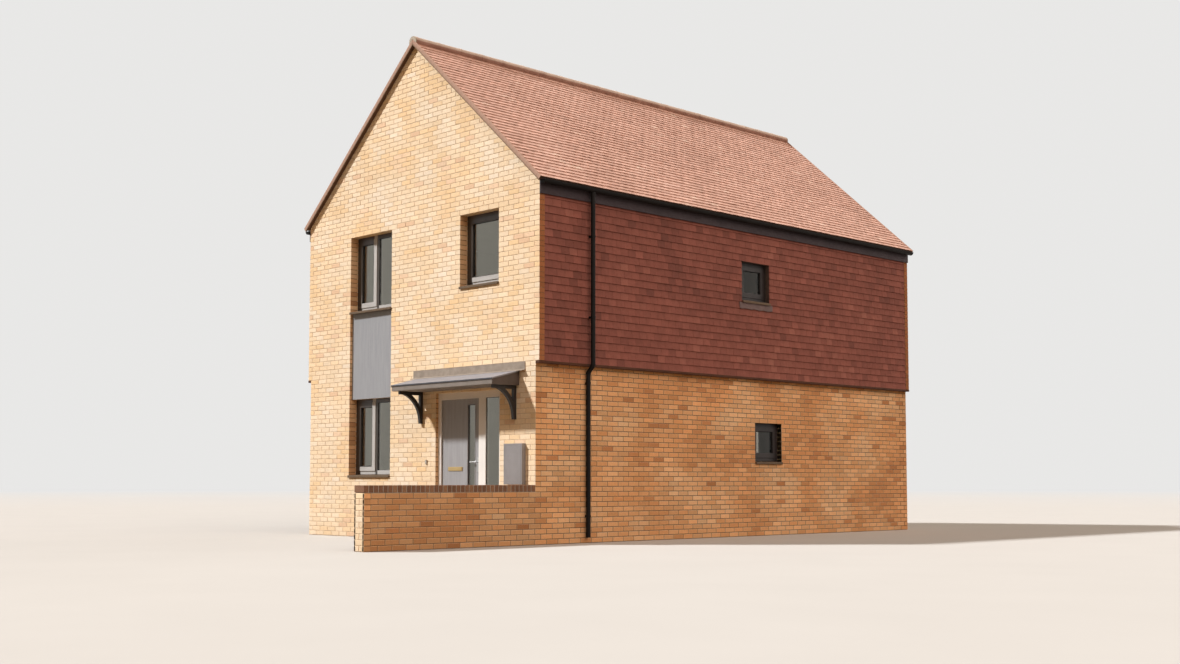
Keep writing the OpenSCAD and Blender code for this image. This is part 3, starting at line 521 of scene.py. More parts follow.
def tile_look(name, stops, marks, left_shade=None):
    """Clay tiles: a tone for each, with lichen, grit and rain marks, painted shade at their heads
    and feet, and painted shade over the slope left of the ridge.
    """
    look = Look(name, roughness=0.86, specular=0.3)
    tone, light, pale = look.tint()
    # This ramp turns the low brightness at the heads and feet of the tiles into painted shade.
    shade = look.ramp(light, (0.0, 0.22), (0.3, 0.8), (1.0, 1.1))
    color = look.mix(1.0, look.ramp(tone, *stops), shade, "MULTIPLY")
    color = look.worn(0.75, color, 9, 5, (0.36, 0.86), (0.62, 1.05))
    color = look.worn(0.7, color, 280, 3, (0.32, 0.78), (0.55, 1.03))
    smear = look.ramp(look.noise(34, 4, stretch=(1.0, 0.7, 1.4)), (0.44, 0.0), (0.62, 1.0))
    color = look.mix(look.mix(1.0, smear, pale, "MULTIPLY"), color, marks)
    # Painted shade: the slope left of the ridge is darkened.
    if left_shade:
        left = look.calc("LESS_THAN", look.axes()[0], 0.0)
        color = look.mix(left, color, look.mix(1.0, color, left_shade, "MULTIPLY"))
    look.done(color, (240, 4, 0.001), (40, 3, 0.0016))


def roof_look():
    stops = ((0.00, (0.63, 0.38, 0.31)), (0.3, (0.715, 0.45, 0.372)),
             (0.65, (0.78, 0.5, 0.418)), (1.00, (0.85, 0.58, 0.5)))
    # The last colour darkens the left slope as painted shade.
    tile_look("roof_tile", stops, (0.86, 0.7, 0.6), (0.8, 0.75, 0.73))


def hung_look():
    stops = ((0.00, (0.205, 0.075, 0.061)), (0.35, (0.285, 0.102, 0.082)),
             (0.7, (0.335, 0.122, 0.098)), (1.00, (0.4, 0.16, 0.127)))
    tile_look("hung_tile", stops, (0.48, 0.3, 0.24))


def clay_look():
    """Ridge clay, pale along the top from weathering and a painted highlight, and darker at its
    foot as painted shade.
    """
    look = Look("ridge_clay", roughness=0.85, specular=0.3)
    height = look.calc("DIVIDE", look.calc("SUBTRACT", look.axes()[2], APEX_Z), RIDGE_RISE)
    foot = look.tones(5, 5, (0.27, 0.145, 0.115), (0.4, 0.235, 0.19), reach=0.18)
    top = look.tones(5, 5, (0.55, 0.43, 0.37), (0.68, 0.57, 0.51), reach=0.18)
    # The darker foot is painted shade; the pale top is weathering with a painted highlight.
    color = look.mix(look.ramp(height, (0.34, 0.0), (0.52, 1.0)), foot, top)
    color = look.worn(0.7, color, 260, 3, (0.32, 0.8), (0.55, 1.04))
    look.done(color, (220, 4, 0.0012))


def verge_look():
    """Pale ends of the tiles over a dark line of painted shade, one end to a course, and painted
    shade on the underside.
    """
    look = Look("verge_strip", roughness=0.8, specular=0.3)
    x, _, z = look.axes()
    out, drop = look.calc("ABSOLUTE", x), look.calc("SUBTRACT", APEX_Z, z)
    (out_cos, drop_cos), (out_sin, drop_sin) = (
        [look.calc("MULTIPLY", length, share) for length in (out, drop)]
        for share in (math.cos(PITCH), math.sin(PITCH)))
    along, height = look.calc("ADD", out_cos, drop_sin), look.calc("SUBTRACT", out_sin, drop_cos)
    share = look.calc("DIVIDE", look.calc("ADD", height, VERGE_DROP),
                      VERGE_DROP + ROOF_TILE_N + 2 * TILE_T)
    # The dark lower edge is painted shade under the ends of the tiles.
    color = look.ramp(share, (0.2, (0.24, 0.155, 0.1)), (0.27, (0.4, 0.255, 0.19)),
                      (0.95, (0.48, 0.305, 0.235)))
    # Faces that look down are darkened: painted shade.
    under = look.calc("LESS_THAN", look.normal_axis(2), -0.4)
    color = look.mix(under, color, (0.11, 0.058, 0.034))
    course = look.calc("FRACT", look.calc("DIVIDE", along, ROOF_GAUGE))
    ends = look.ramp(course, (0.0, 0.62), (0.1, 0.96), (1.0, 1.06))
    color = look.mix(0.8, color, ends, "MULTIPLY")
    color = look.worn(0.6, color, 70, 4, (0.34, 0.8), (0.6, 1.05))
    look.done(color, (220, 4, 0.001))


def coping_look():
    look = Look("coping_brick", roughness=0.8, specular=0.35)
    color = look.ramp(look.tint()[0], (0.0, (0.145, 0.074, 0.047)),
                      (0.5, (0.23, 0.118, 0.07)), (1.0, (0.33, 0.19, 0.112)))
    color = look.worn(0.8, color, 40, 4, (0.36, 0.8), (0.64, 1.1))
    color = look.worn(0.7, color, 340, 3, (0.32, 0.76), (0.55, 1.04))
    look.done(color, (300, 4, 0.001), (50, 3, 0.002))


def paint_look(name, dark, light, roughness, grain=0.0004, streak=None, metallic=0.0, scale=4,
               specular=0.4):
    """Painted, plastic or coated surface with faint soiling."""
    look = Look(name, roughness=roughness, metallic=metallic, specular=specular)
    color = look.tones(scale, 5, dark, light, streak, 0.18)
    color = look.worn(0.35, color, 180, 3, (0.34, 0.84), (0.6, 1.03))
    shine = look.ramp(look.noise(22, 4), (0.3, roughness * 0.86), (0.7, min(roughness * 1.16, 1.0)))
    look.set("Roughness", shine)
    look.done(color, (160, 4, grain))


def glass_look(name, color, ior):
    look = Look(name, color=color, roughness=0.03, specular=0.5)
    look.set("Transmission Weight", 1.0)
    look.set("Specular Tint", (1.0, 0.95, 0.84, 1.0))
    look.set("IOR", ior)
    look.relief((2.2, 1, 0.0012))


# Paints, plastics and metals: darkest and lightest colour, roughness, and what else differs
PAINTS = {
    "underlay": ((0.07, 0.045, 0.04), (0.12, 0.08, 0.065), 0.9, {}),
    "fascia_board": ((0.037, 0.026, 0.032), (0.052, 0.038, 0.046), 0.65, {"specular": 0.3}),
    "ridge_end": ((0.39, 0.335, 0.265), (0.47, 0.405, 0.325), 0.7, {}),
    "black_plastic": ((0.006, 0.005, 0.005), (0.011, 0.009, 0.008), 0.55, {"specular": 0.12}),
    "tilt_board": ((0.058, 0.023, 0.012), (0.092, 0.036, 0.02), 0.7, {"specular": 0.2}),
    # Dark paint for the frame members away from the pale ones: painted shade.
    "frame_painted_shade": ((0.05, 0.043, 0.038), (0.074, 0.064, 0.058), 0.35, {}),
    # Near-black frames on the side windows: painted shade.
    "side_frame_painted_shade": ((0.024, 0.02, 0.02), (0.038, 0.031, 0.031), 0.4, {"specular": 0.3}),
    "frame_grey": ((0.45, 0.445, 0.44), (0.52, 0.515, 0.51), 0.45, {}),
    "gasket": ((0.01, 0.01, 0.01), (0.016, 0.016, 0.016), 0.6, {}),
    "sill_grey": ((0.108, 0.071, 0.042), (0.14, 0.094, 0.056), 0.55, {"specular": 0.3}),
    "panel_grey": ((0.29, 0.305, 0.335), (0.335, 0.35, 0.38), 0.5,
                   {"streak": (9, 9, 0.7), "scale": 3}),
    "door_white": ((0.86, 0.85, 0.83), (0.91, 0.9, 0.885), 0.45, {}),
    "door_grey": ((0.315, 0.318, 0.34), (0.372, 0.376, 0.4), 0.5, {"streak": (6, 6, 0.5)}),
    "steel": ((0.42, 0.42, 0.42), (0.55, 0.55, 0.55), 0.32, {"metallic": 1.0}),
    "brass": ((0.52, 0.37, 0.17), (0.64, 0.47, 0.23), 0.35, {"metallic": 1.0}),
    "canopy_sheet": ((0.214, 0.212, 0.236), (0.251, 0.25, 0.278), 0.6, {"grain": 0.0008}),
    "sheet_edge": ((0.045, 0.048, 0.058), (0.07, 0.074, 0.086), 0.5, {}),
    "canopy_paint": ((0.195, 0.17, 0.152), (0.245, 0.215, 0.195), 0.6, {"grain": 0.0008}),
    # Darker paint on the ends of the canopy boards: painted shade.
    "canopy_end_painted_shade": ((0.062, 0.046, 0.038), (0.088, 0.066, 0.054), 0.6, {"grain": 0.0008}),
    "lead_grey": ((0.235, 0.195, 0.16), (0.345, 0.29, 0.24), 0.65,
                  {"grain": 0.0016, "scale": 8}),
    "lead_dark": ((0.115, 0.074, 0.073), (0.165, 0.11, 0.107), 0.6,
                  {"grain": 0.0016, "scale": 9}),
    "bracket_dark": ((0.016, 0.013, 0.012), (0.028, 0.022, 0.02), 0.5, {}),
    "meter_grey": ((0.245, 0.235, 0.24), (0.29, 0.28, 0.29), 0.5, {"grain": 0.0006}),
}

for make in (brick_look, mortar_look, plaster_look, block_look, concrete_look, roof_look,
             hung_look, clay_look, coping_look, verge_look):
    make()
glass_look("window_glass", (0.84, 0.83, 0.72), 1.95)
glass_look("side_glass", (0.42, 0.38, 0.35), 1.35)
for name, (*paint, rest) in PAINTS.items():
    paint_look(name, *paint, **rest)

# Nodes shown as they are, by material
NODE_LOOKS = {
    "concrete": ("ground_floor", "threshold"),
    "plaster": ("first_floor", "upper_ceiling"),
    "blockwork": ("right_wall_upper", "left_wall_upper"),
    "black_plastic": ("gutters", "downpipes"),
    "window_glass": ("front_window_glass", "back_window_glass", "door_glass"),
    "side_glass": ("side_window_glass",),
    "bracket_dark": ("canopy_brackets",),
}

# Nodes shown by a copy that is drawn in
SLIMMED = {"ridge_tiles": "ridge_clay", "ridge_ends": "ridge_end"}

# Nodes shown by a copy with softened edges: material, edge width
SOFTENED = {
    "verges": ("verge_strip", 0.002),
    "tilting_boards": ("tilt_board", 0.003),
    "fascias": ("fascia_board", 0.003),
    "front_window_frames": ("frame_painted_shade", 0.003),
    "side_window_frames": ("side_frame_painted_shade", 0.003),
    "back_window_frames": ("frame_painted_shade", 0.003),
    "window_sills": ("sill_grey", 0.004),
    "wall_panels": ("panel_grey", 0.002),
    "door_frame": ("door_white", 0.003),
    "front_door": ("door_grey", 0.002),
    "door_furniture": ("steel", 0.0015),
    "door_hinges": ("steel", 0.0008),
    "canopy_roof": ("canopy_sheet", 0.004),
    "canopy_boards": ("canopy_paint", 0.003),
    "canopy_flashing": ("lead_grey", 0.002),
    "meter_box": ("meter_grey", 0.004),
    "back_door": ("door_grey", 0.003),
}


def within(value, span):
    return span[0] < value < span[1]


def is_letterbox(center, normal):
    return center.y < LEAF_Y and within(center.x, LETTERBOX_X) and within(center.z, LETTERBOX_Z)


def is_bead(center, normal):
    return center.y < LEAF_Y + NEAR and within(center.x, BEAD_X) and not is_handle(center)


def is_handle(center):
    return center.y < LEAF_Y - HANDLE_PROUD and center.x > HANDLE_X


def is_pale_member(center, normal):
    """Foot rails of the front windows, and the inner stile of their casements, which keep the pale
    grey; the rest of the frames is painted shade.
    """
    rail = any(0 < center.z - foot < PALE_RAIL for foot in FRAME_FEET) and abs(normal.x) < 0.5
    between = any(within(center.x, span) for span in PALE_SPANS)
    return rail and between or within(center.x, PALE_STILE)


def is_pale_member_behind(center, normal):
    return is_pale_member(Vector((-center.x, -center.y, center.z)), normal)


# Faces of softened nodes that have a finish of their own
SPECIAL_FACES = {
    "door_furniture": [("brass", is_letterbox), ("door_grey", is_bead)],
    "canopy_roof": [("sheet_edge", lambda center, normal: normal.y < -0.9)],
    # The ends of the canopy boards take painted shade.
    "canopy_boards": [("canopy_end_painted_shade", lambda center, normal: abs(normal.x) > 0.9)],
    "front_window_frames": [("frame_grey", is_pale_member)],
    "back_window_frames": [("frame_grey", is_pale_member_behind)],
}

# Planes that part the faces of a softened node where its finish changes
FRAME_CUTS = [((0, 0, foot + PALE_RAIL), (0, 0, 1)) for foot in FRAME_FEET]
STILE_LINES = sorted({x for span in PALE_SPANS for x in span} | set(PALE_STILE))
CUTS = {
    "front_window_frames": FRAME_CUTS + [((x, 0, 0), (1, 0, 0)) for x in STILE_LINES],
    "back_window_frames": FRAME_CUTS + [((-x, 0, 0), (1, 0, 0)) for x in STILE_LINES],
}


def dress_nodes():
    for look, nodes in NODE_LOOKS.items():
        for slot in (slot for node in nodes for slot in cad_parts[node].material_slots):
            slot.link = "OBJECT"
            slot.material = MATERIALS[look]


def copied(node, suffix):
    """Copy of a node's mesh, with its own name and no material yet."""
    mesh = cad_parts[node].data.copy()
    mesh.name = node + suffix
    mesh.materials.clear()
    return mesh


def soften_nodes():
    """Copies of crisp nodes with a small round on every sharp edge."""
    for node, (look, width) in SOFTENED.items():
        mesh = copied(node, "_finish")
        shape = bmesh.new()
        shape.from_mesh(mesh)
        bmesh.ops.remove_doubles(shape, verts=shape.verts, dist=SAME_POINT)
        bmesh.ops.dissolve_limit(shape, angle_limit=FLAT, verts=shape.verts, edges=shape.edges)
        sharp = [e for e in shape.edges if e.is_manifold and e.calc_face_angle(0) > SHARP]
        bmesh.ops.bevel(shape, geom=sharp, offset=width, segments=2, profile=0.6,
                        affect="EDGES", clamp_overlap=True)
        rules = SPECIAL_FACES.get(node, [])
        for point, normal in CUTS.get(node, []):
            bmesh.ops.bisect_plane(shape, geom=shape.verts[:] + shape.edges[:] + shape.faces[:],
                                   plane_co=point, plane_no=normal)
        for face in shape.faces:
            center = face.calc_center_median()
            face.material_index = next((i + 1 for i, (_, test) in enumerate(rules)
                                        if test(center, face.normal)), 0)
        for name in [look] + [name for name, _ in rules]:
            mesh.materials.append(MATERIALS[name])
        shape.to_mesh(mesh)
        shape.free()
        body = LEAF if node in ("front_door", "door_furniture") else HOUSE
        finished(bpy.data.objects.new(mesh.name, mesh), body, [node])


# Brickwork

WALLS = {node: box(node) for node in (
    "front_wall_left", "front_wall_right", "front_wall_over_door", "front_gable", "back_wall",
    "back_gable", "right_wall_lower", "left_wall_lower", "garden_wall")}
masonry = {node: Mesher() for node in WALLS}


def owner(point):
    """The wall node whose box holds a point, or the nearest one."""
    def miss(node):
        low, high = WALLS[node]
        return sum(max(low[i] - point[i], 0, point[i] - high[i]) for i in range(3))
    return min(WALLS, key=miss)


def brick_tint(point):
    """Tone in clusters with some odd bricks, and a brightness, lowered on the garden's side as
    painted shade.
    """
    cluster = noise.noise(Vector(point) * 1.9) * 0.46
    tone = 0.42 + cluster + rng.gauss(0, 0.09)
    if rng.random() < 0.035:
        tone = rng.uniform(0.85, 1.0)
    patch = noise.noise(Vector(point) * 1.1 + Vector((7, 3, 1))) * 0.3
    light = 0.55 + patch + rng.gauss(0, 0.15)
    # Painted shade: the side face of the garden wall is made darker.
    if point[0] > SIDE_X - 0.1 and point[1] < FRONT_Y:
        light -= 0.55
    return (min(max(tone, 0), 1), min(max(light, 0), 1), 0.0)


def segments(a, b, holes, z):
    """What holes leave of a course between a and b, at a height."""
    cuts = sorted((h[0], h[1]) for h in holes if h[2] < z < h[3])
    kept, start = [], a
    for low, high in cuts:
        if low > start:
            kept.append((start, low))
        start = max(start, high)
    if start < b:
        kept.append((start, b))
    return kept


def bond(left, right, shift):
    """Bricks and half bricks of a run: start, stop, and size in halves."""
    halves = max(1, round((right - left + JOINT) / HALF))
    step = (right - left + JOINT) / halves
    j = 0
    while j < halves:
        size = 2 if (shift + j) % 2 == 0 and j + 2 <= halves else 1
        yield left + j * step, left + (j + size) * step - JOINT, size
        j += size


def brick_foot(u0, u1, z0, holes):
    """Foot of a brick, which comes down to the head of a hole that is right under it."""
    for h0, h1, _, head, _ in holes:
        if abs(z0 - JOINT / 2 - head) < NEAR and u1 > h0 and u0 < h1:
            return head
    return z0


def reveal(u0, u1, z0, z1, holes):
    """Depth of a brick: shallow, or as deep as the reveal of the hole it borders."""
    depth = SKIN
    for h0, h1, hz0, hz1, deep in holes:
        beside = (abs(u1 - h0) < NEAR or abs(u0 - h1) < NEAR) and z1 > hz0 and z0 < hz1
        over = abs(z0 - hz1) < JOINT and u1 > h0 and u0 < h1
        if beside or over:
            depth = max(depth, deep)
    return depth


def under_roof(outline):
    """Part of an outline that is below both slopes."""
    for slope in (ROOF_SLOPE, -ROOF_SLOPE):
        outline = clipped(outline, slope, 1, APEX_Z - NEAR)
    return outline


def bed_levels(k):
    """Foot and head of the bricks of a course."""
    return k * COURSE + JOINT / 2, (k + 1) * COURSE - JOINT / 2


def lay_bricks(place, a, b, courses, holes, origin, phase, ends=None, roof=False):
    """Stretcher bond on one face. Ends gives the depth of the two corner bricks of a course."""
    for k in courses:
        z0, z1 = bed_levels(k)
        start, stop = (a(k), b(k)) if callable(a) else (a, b)
        reach = (APEX_Z - z0) / ROOF_SLOPE
        for left, right in segments(start, stop, holes, (z0 + z1) / 2):
            if roof and (left > reach or right < -reach):
                continue
            for u0, u1, size in bond(left, right, round((left - origin) / HALF) + k + phase):
                foot = brick_foot(u0, u1, z0, holes)
                depth = reveal(u0, u1, foot, z1, holes)
                if ends and (abs(u0 - start) < NEAR or abs(u1 - stop) < NEAR):
                    depth = max(depth, ends(size))
                outline = [(u0, foot), (u1, foot), (u1, z1), (u0, z1)]
                if roof:
                    outline = under_roof(outline)
                if len(outline) < 3 or outline_area(outline) < LEAST_AREA:
                    continue
                middle = place((u0 + u1) / 2, (z0 + z1) / 2, SKIN)
                masonry[owner(middle)].slab(place, outline, depth, ARRIS, 0,
                                            brick_tint(middle), rng.uniform(0, MOST_SUNK))


def corner_depth(size):
    return BRICK_DEPTH if size == 2 else BRICK_LEN


def return_depth(size):
    return BACK_Y - RETURN_Y


def lay_front_and_back():
    low, gable = range(STOREY_COURSE), range(STOREY_COURSE, GABLE_TOP_COURSE)
    for place, holes, phase in ((on_front, FRONT_HOLES, 0), (on_back, BACK_HOLES, 1)):
        top = low
        if place is on_front:
            lay_bricks(place, -SIDE_X, GARDEN_LOW.x, range(GARDEN_COURSE), holes, -SIDE_X, phase,
                       corner_depth)
            top = range(GARDEN_COURSE, STOREY_COURSE)
        lay_bricks(place, -SIDE_X, SIDE_X, top, holes, -SIDE_X, phase, corner_depth)
        lay_bricks(place, -UPPER_X, UPPER_X, gable, holes, -UPPER_X, phase, return_depth, roof=True)


def clear_of_corner(k):
    """How far a side course stays from the corner of the house, past the corner brick."""
    return (BRICK_LEN if k % 2 == 0 else BRICK_DEPTH) + JOINT


def lay_sides():
    for place, phase in ((on_right, 0), (on_left, 1)):
        low_u, high_u = SIDE_LOW[:2] if place is on_right else (-SIDE_LOW[1], -SIDE_LOW[0])
        lay_bricks(place, lambda k: FRONT_Y + clear_of_corner(k + phase),
                   lambda k: BACK_Y - clear_of_corner(k + phase), range(STOREY_COURSE),
                   [(low_u, high_u, *SIDE_LOW[2:])], FRONT_Y, phase)


def lay_garden_wall():
    """Both faces of the garden wall, bonded into the corner of the house, and its end."""
    courses = range(GARDEN_COURSE)
    lay_bricks(on_right, lambda k: GARDEN_LOW.y, lambda k: FRONT_Y + clear_of_corner(k) - JOINT,
               courses, [], GARDEN_LOW.y, 0, lambda size: SKIN)
    lay_bricks(on_garden_left, -FRONT_Y, -GARDEN_LOW.y, courses, [], -GARDEN_LOW.y, 0)
    for k in courses:
        z0, z1 = bed_levels(k)
        spans = [(GARDEN_LOW.x, GARDEN_HIGH.x)]
        if k % 2 == 0:
            spans = [(GARDEN_LOW.x, GARDEN_LOW.x + BRICK_DEPTH),
                     (GARDEN_HIGH.x - BRICK_DEPTH, GARDEN_HIGH.x)]
        for u0, u1 in spans:
            middle = on_garden_end((u0 + u1) / 2, (z0 + z1) / 2, SKIN)
            masonry["garden_wall"].slab(on_garden_end, [(u0, z0), (u1, z0), (u1, z1), (u0, z1)],
                                        BRICK_DEPTH, ARRIS, 0, brick_tint(middle))


def moved_in(x, y, z):
    """Mortar face of a wall: outer faces step in, and holes widen at the outside."""
    flip = 1 if y < 0 else -1
    outer = abs(abs(y) - BACK_Y) < NEAR
    if BACK_Y - abs(y) < REVEAL:
        u = x * flip
        for h0, h1, hz0, hz1, _ in FRONT_HOLES if flip > 0 else BACK_HOLES:
            if not hz0 - NEAR < z < hz1 + NEAR:
                continue
            if abs(u - h0) < NEAR:
                x -= MORTAR_IN * flip
                break
            if abs(u - h1) < NEAR:
                x += MORTAR_IN * flip
                break
    if outer:
        if abs(z - LOW_HEAD) < NEAR or abs(z - UP_HEAD) < NEAR:
            z += MORTAR_IN
        y += MORTAR_IN * flip
    for plane in (SIDE_X, UPPER_X):
        if abs(abs(x) - plane) < NEAR:
            x -= math.copysign(MORTAR_IN, x)
    if abs(y - GARDEN_LOW.y) < NEAR:
        y += MORTAR_IN
    if abs(x - GARDEN_LOW.x) < NEAR and y < FRONT_Y + 0.02:
        x += MORTAR_IN
    return (x, y, z)


def wall_kind(center, normal):
    """Mortar outside, plaster on the faces that look into the rooms."""
    inside = abs(center.x) < INNER_X + NEAR and abs(center.y) < INNER_Y + NEAR
    return 2 if inside else 1


def build_masonry():
    lay_front_and_back()
    lay_sides()
    lay_garden_wall()
    kinds = [MATERIALS["brick"], MATERIALS["mortar"], MATERIALS["plaster"]]
    for node, mesher in masonry.items():
        mesher.core(node, moved_in, wall_kind)
        mesher.piece("brickwork_" + node, kinds, replaced=[node], slot="brick")


# Roof and hung tiles

def tile_cuts(reach, a, b, row):
    """Tiles of one course between a and b, with no sliver at either end."""
    step = 2 * reach / round(2 * reach / TILE_W)
    origin = step / 2 * (row % 2) - reach
    first = math.floor((a - origin) / step)
    edges = [a]
    for j in range(first + 1, first + 2 + math.ceil((b - a) / step)):
        edge = origin + j * step
        if a + LEAST_TILE < edge < b - LEAST_TILE:
            edges.append(edge)
    edges.append(b)
    for u0, u1 in zip(edges, edges[1:]):
        yield u0 + TILE_GAP / 2, u1 - TILE_GAP / 2


def tile_tint(point, odd, spread):
    tone = 0.48 + noise.noise(Vector(point) * 0.9) * 0.35 + rng.gauss(0, spread)
    light = 0.66 + rng.gauss(0, spread * 0.8)
    pale = rng.uniform(0.5, 1.0) if rng.random() < odd else 0.0
    return (min(max(tone, 0), 1), min(max(light, 0.35), 1), pale)


def roof_slope(name, node, side):
    """One slope: a dark bed and staggered plain tiles over it."""
    mesher = Mesher()
    cos, sin = math.cos(PITCH), math.sin(PITCH)

    def at(s, n, y):
        return (side * (s * cos + n * sin), y, APEX_Z - s * sin + n * cos)

    def place(u, v, n):
        return at(v, ROOF_TILE_N + n, u * side)

    corners = []
    for y in (-ROOF_END_Y, ROOF_END_Y):
        corners += [at(0, 0, y), at(SLOPE_LEN, 0, y), at(SLOPE_LEN - HEAD_LAP, UNDERLAY_N, y),
                    (0.0, y, APEX_Z + UNDERLAY_N / cos)]
    faces = [[0, 1, 2, 3], [7, 6, 5, 4], [0, 4, 5, 1], [1, 5, 6, 2], [2, 6, 7, 3], [3, 7, 4, 0]]
    mesher.add(corners, [face[::side] for face in faces], 1)
    for i in range(math.ceil(SLOPE_LEN / ROOF_GAUGE)):
        s0 = SLOPE_LEN - i * ROOF_GAUGE
        s1 = max(s0 - ROOF_GAUGE - HEAD_LAP, RIDGE_GAP)
        for y0, y1 in tile_cuts(ROOF_END_Y, -ROOF_END_Y, ROOF_END_Y, i):
            droop = rng.uniform(-0.002, 0.002)
            lift = rng.uniform(-0.0015, 0.0025)
            # The last figure is the share of brightness at the tile's head: painted shade.
            mesher.tile(place, y0, y1, s0 + droop, s1, TILE_T + lift, 0.0018,
                        tile_tint(at(s0, 0, (y0 + y1) / 2), 0.015, 0.12), 0.72)
    mesher.piece(name, [MATERIALS["roof_tile"], MATERIALS["underlay"]], replaced=[node],
                 slot="roof_tiles")


def tile_hanging(name, node, side):
    """Hung courses on one side wall, cut round the upper side window."""
    mesher = Mesher()
    face = UPPER_X - TILE_T

    def move(x, y, z):
        return (x - side * HANG_IN if abs(x) > SIDE_X + 0.01 else x, y, z)

    def place(u, v, n):
        return (side * (face + n), u * side, v)

    mesher.core(node, move, lambda center, normal: 1)
    low_u, high_u = SIDE_UP[:2] if side > 0 else (-SIDE_UP[1], -SIDE_UP[0])
    hole = (low_u, high_u, *SIDE_UP[2:])
    for i in range(round((box(node)[1].z - STOREY_Z) / HANG_GAUGE)):
        z0 = STOREY_Z + i * HANG_GAUGE
        z1 = z0 + HANG_GAUGE
        for a, b in segments(-RETURN_Y, RETURN_Y, [hole], (z0 + z1) / 2):
            for u0, u1 in tile_cuts(RETURN_Y, a, b, i):
                droop = rng.uniform(-0.0015, 0.0015) if i else 0.0
                mesher.tile(place, u0, u1, z0 + droop, z1, TILE_T - rng.uniform(0, 0.0025),
                            0.0012 * rng.random(),
                            tile_tint((side * face, (u0 + u1) / 2, z0), 0.0, 0.15))
    mesher.piece(name, [MATERIALS["hung_tile"], MATERIALS["underlay"]], replaced=[node],
                 slot="hung_tiles")


def build_coping():
    """Bricks on edge, set in mortar along the garden wall."""
    mesher = Mesher()
    low, high = box("garden_wall_coping")
    lift, arris, most_drop, start_in, bed_drop = 0.006, 0.004, 0.0025, 0.02, 0.007
    count = round((high.y - low.y) / COURSE)
    pitch = (high.y - low.y) / count
    for i in range(count):
        y0 = low.y + i * pitch
        y1 = y0 + pitch - (JOINT / 2 if i < count - 1 else 0)
        tint = (min(max(rng.gauss(0.5, 0.22), 0), 1), 0.5, 0.0)
        drop = rng.uniform(0, most_drop)
        mesher.block((low.x, y0 + (JOINT / 2 if i else 0), low.z + lift),
                     (high.x, y1, high.z - drop), arris, 0, tint)
    mesher.block((low.x + MORTAR_IN, low.y + start_in, low.z),
                 (high.x - MORTAR_IN, high.y, high.z - bed_drop), 0.001, 1)
    mesher.piece("coping_bricks", [MATERIALS["coping_brick"], MATERIALS["concrete"]],
                 replaced=["garden_wall_coping"], slot="coping_brick")


def slim_ridge():
    """Ridge as slim as the photograph's, drawn in towards the crest of the tiles."""
    crest = APEX_Z + (ROOF_TILE_N + TILE_T) / math.cos(PITCH)
    for node, look in SLIMMED.items():
        mesh = copied(node, "_slim")
        for vertex in mesh.vertices:
            vertex.co.x *= RIDGE_SHARE
            vertex.co.z = crest + (vertex.co.z - crest) * RIDGE_SHARE
        mesh.materials.append(MATERIALS[look])
        finished(bpy.data.objects.new(mesh.name, mesh), HOUSE, [node])


# Small trims

def gaskets(name, node, body=HOUSE):
    """Black seals round every pane, just proud of the glass on both faces."""
    mesher = Mesher()
    wide, proud, sunk, arris = 0.007, 0.002, 0.001, 0.0006
    for low, high in solids(node):
        across = 0 if high.x - low.x > high.y - low.y else 1
        through = 1 - across
        for face in (low[through] - proud, high[through] - sunk):
            for at_low in (True, False):
                for other in (2, across):
                    a, b = list(low), list(high)
                    a[through], b[through] = face, face + proud + sunk
                    if at_low:
                        b[other] = low[other] + wide
                    else:
                        a[other] = high[other] - wide
                    mesher.block(a, b, arris)
    mesher.piece(name, [MATERIALS["gasket"]], body)


def window_aprons():
    """Lead dressed over the hung tiles under the upper side windows."""
    steps, beyond, deep = 14, 0.07, 0.105
    u0, u1, top = SIDE_UP[0] - beyond, SIDE_UP[1] + beyond, SIDE_UP[2] - 0.006
    count = steps + 1
    head = [top] * count
    foot = [top - deep - 0.006 * math.sin(i * 1.7) - 0.003 * (i % 2) for i in range(count)]
    fold = [z + 0.004 for z in foot]
    # Levels and distance from the tiles of each line of the sheet, from its back round to its back
    lines = ((head, -0.001), (head, 0.003), (fold, 0.006), (foot, 0.004), (foot, -0.001))
    for side, name in ((1, "apron_right"), (-1, "apron_left")):
        mesher = Mesher()
        points = [(side * (UPPER_X + out), u0 + (u1 - u0) * i / steps, levels[i])
                  for levels, out in lines for i in range(count)]
        faces = []
        for r in range(len(lines) - 1):
            for i in range(r * count, r * count + steps):
                faces.append([i, i + 1, i + count + 1, i + count][::-side])
        faces.append([k * count for k in range(len(lines))][::side])
        faces.append([k * count + steps for k in range(len(lines))][::-side])
        mesher.add(points, faces)
        mesher.piece(name, [MATERIALS["lead_dark"]])


def bell_push():
    """Small bell push on the brickwork beside the door: a plate and its button."""
    mesher = Mesher()
    x, z = 0.359, 1.2
    plates = ((0.021, 0.035, -0.016, 0.002, 0.004), (0.009, 0.012, -0.02, -0.014, 0.002))
    for kind, (wide, tall, front, back, arris) in enumerate(plates):
        mesher.block((x - wide, FRONT_Y + front, z - tall), (x + wide, FRONT_Y + back, z + tall),
                     arris, kind)
    mesher.piece("bell_push", [MATERIALS["ridge_end"], MATERIALS["steel"]])


# Floor, light and camera

BACKGROUND = (0.81, 0.805, 0.795)
FLOOR_LIGHT = (0.17, 0.113, 0.062)
SKY_LIGHT = (0.145, 0.106, 0.068)
SEEN_RAYS = ("Is Camera Ray", "Is Glossy Ray", "Is Transmission Ray")
FLOOR_Z = -0.002


def seen_rays(tree):
    """1 for rays that show a surface to the eye, and 0 for those that light the object."""
    path = tree.nodes.new("ShaderNodeLightPath")
    value = path.outputs[SEEN_RAYS[0]]
    for name in SEEN_RAYS[1:]:
        node = tree.nodes.new("ShaderNodeMath")
        node.operation = "MAXIMUM"
        tree.links.new(value, node.inputs[0])
        tree.links.new(path.outputs[name], node.inputs[1])
        value = node.outputs[0]
    return value


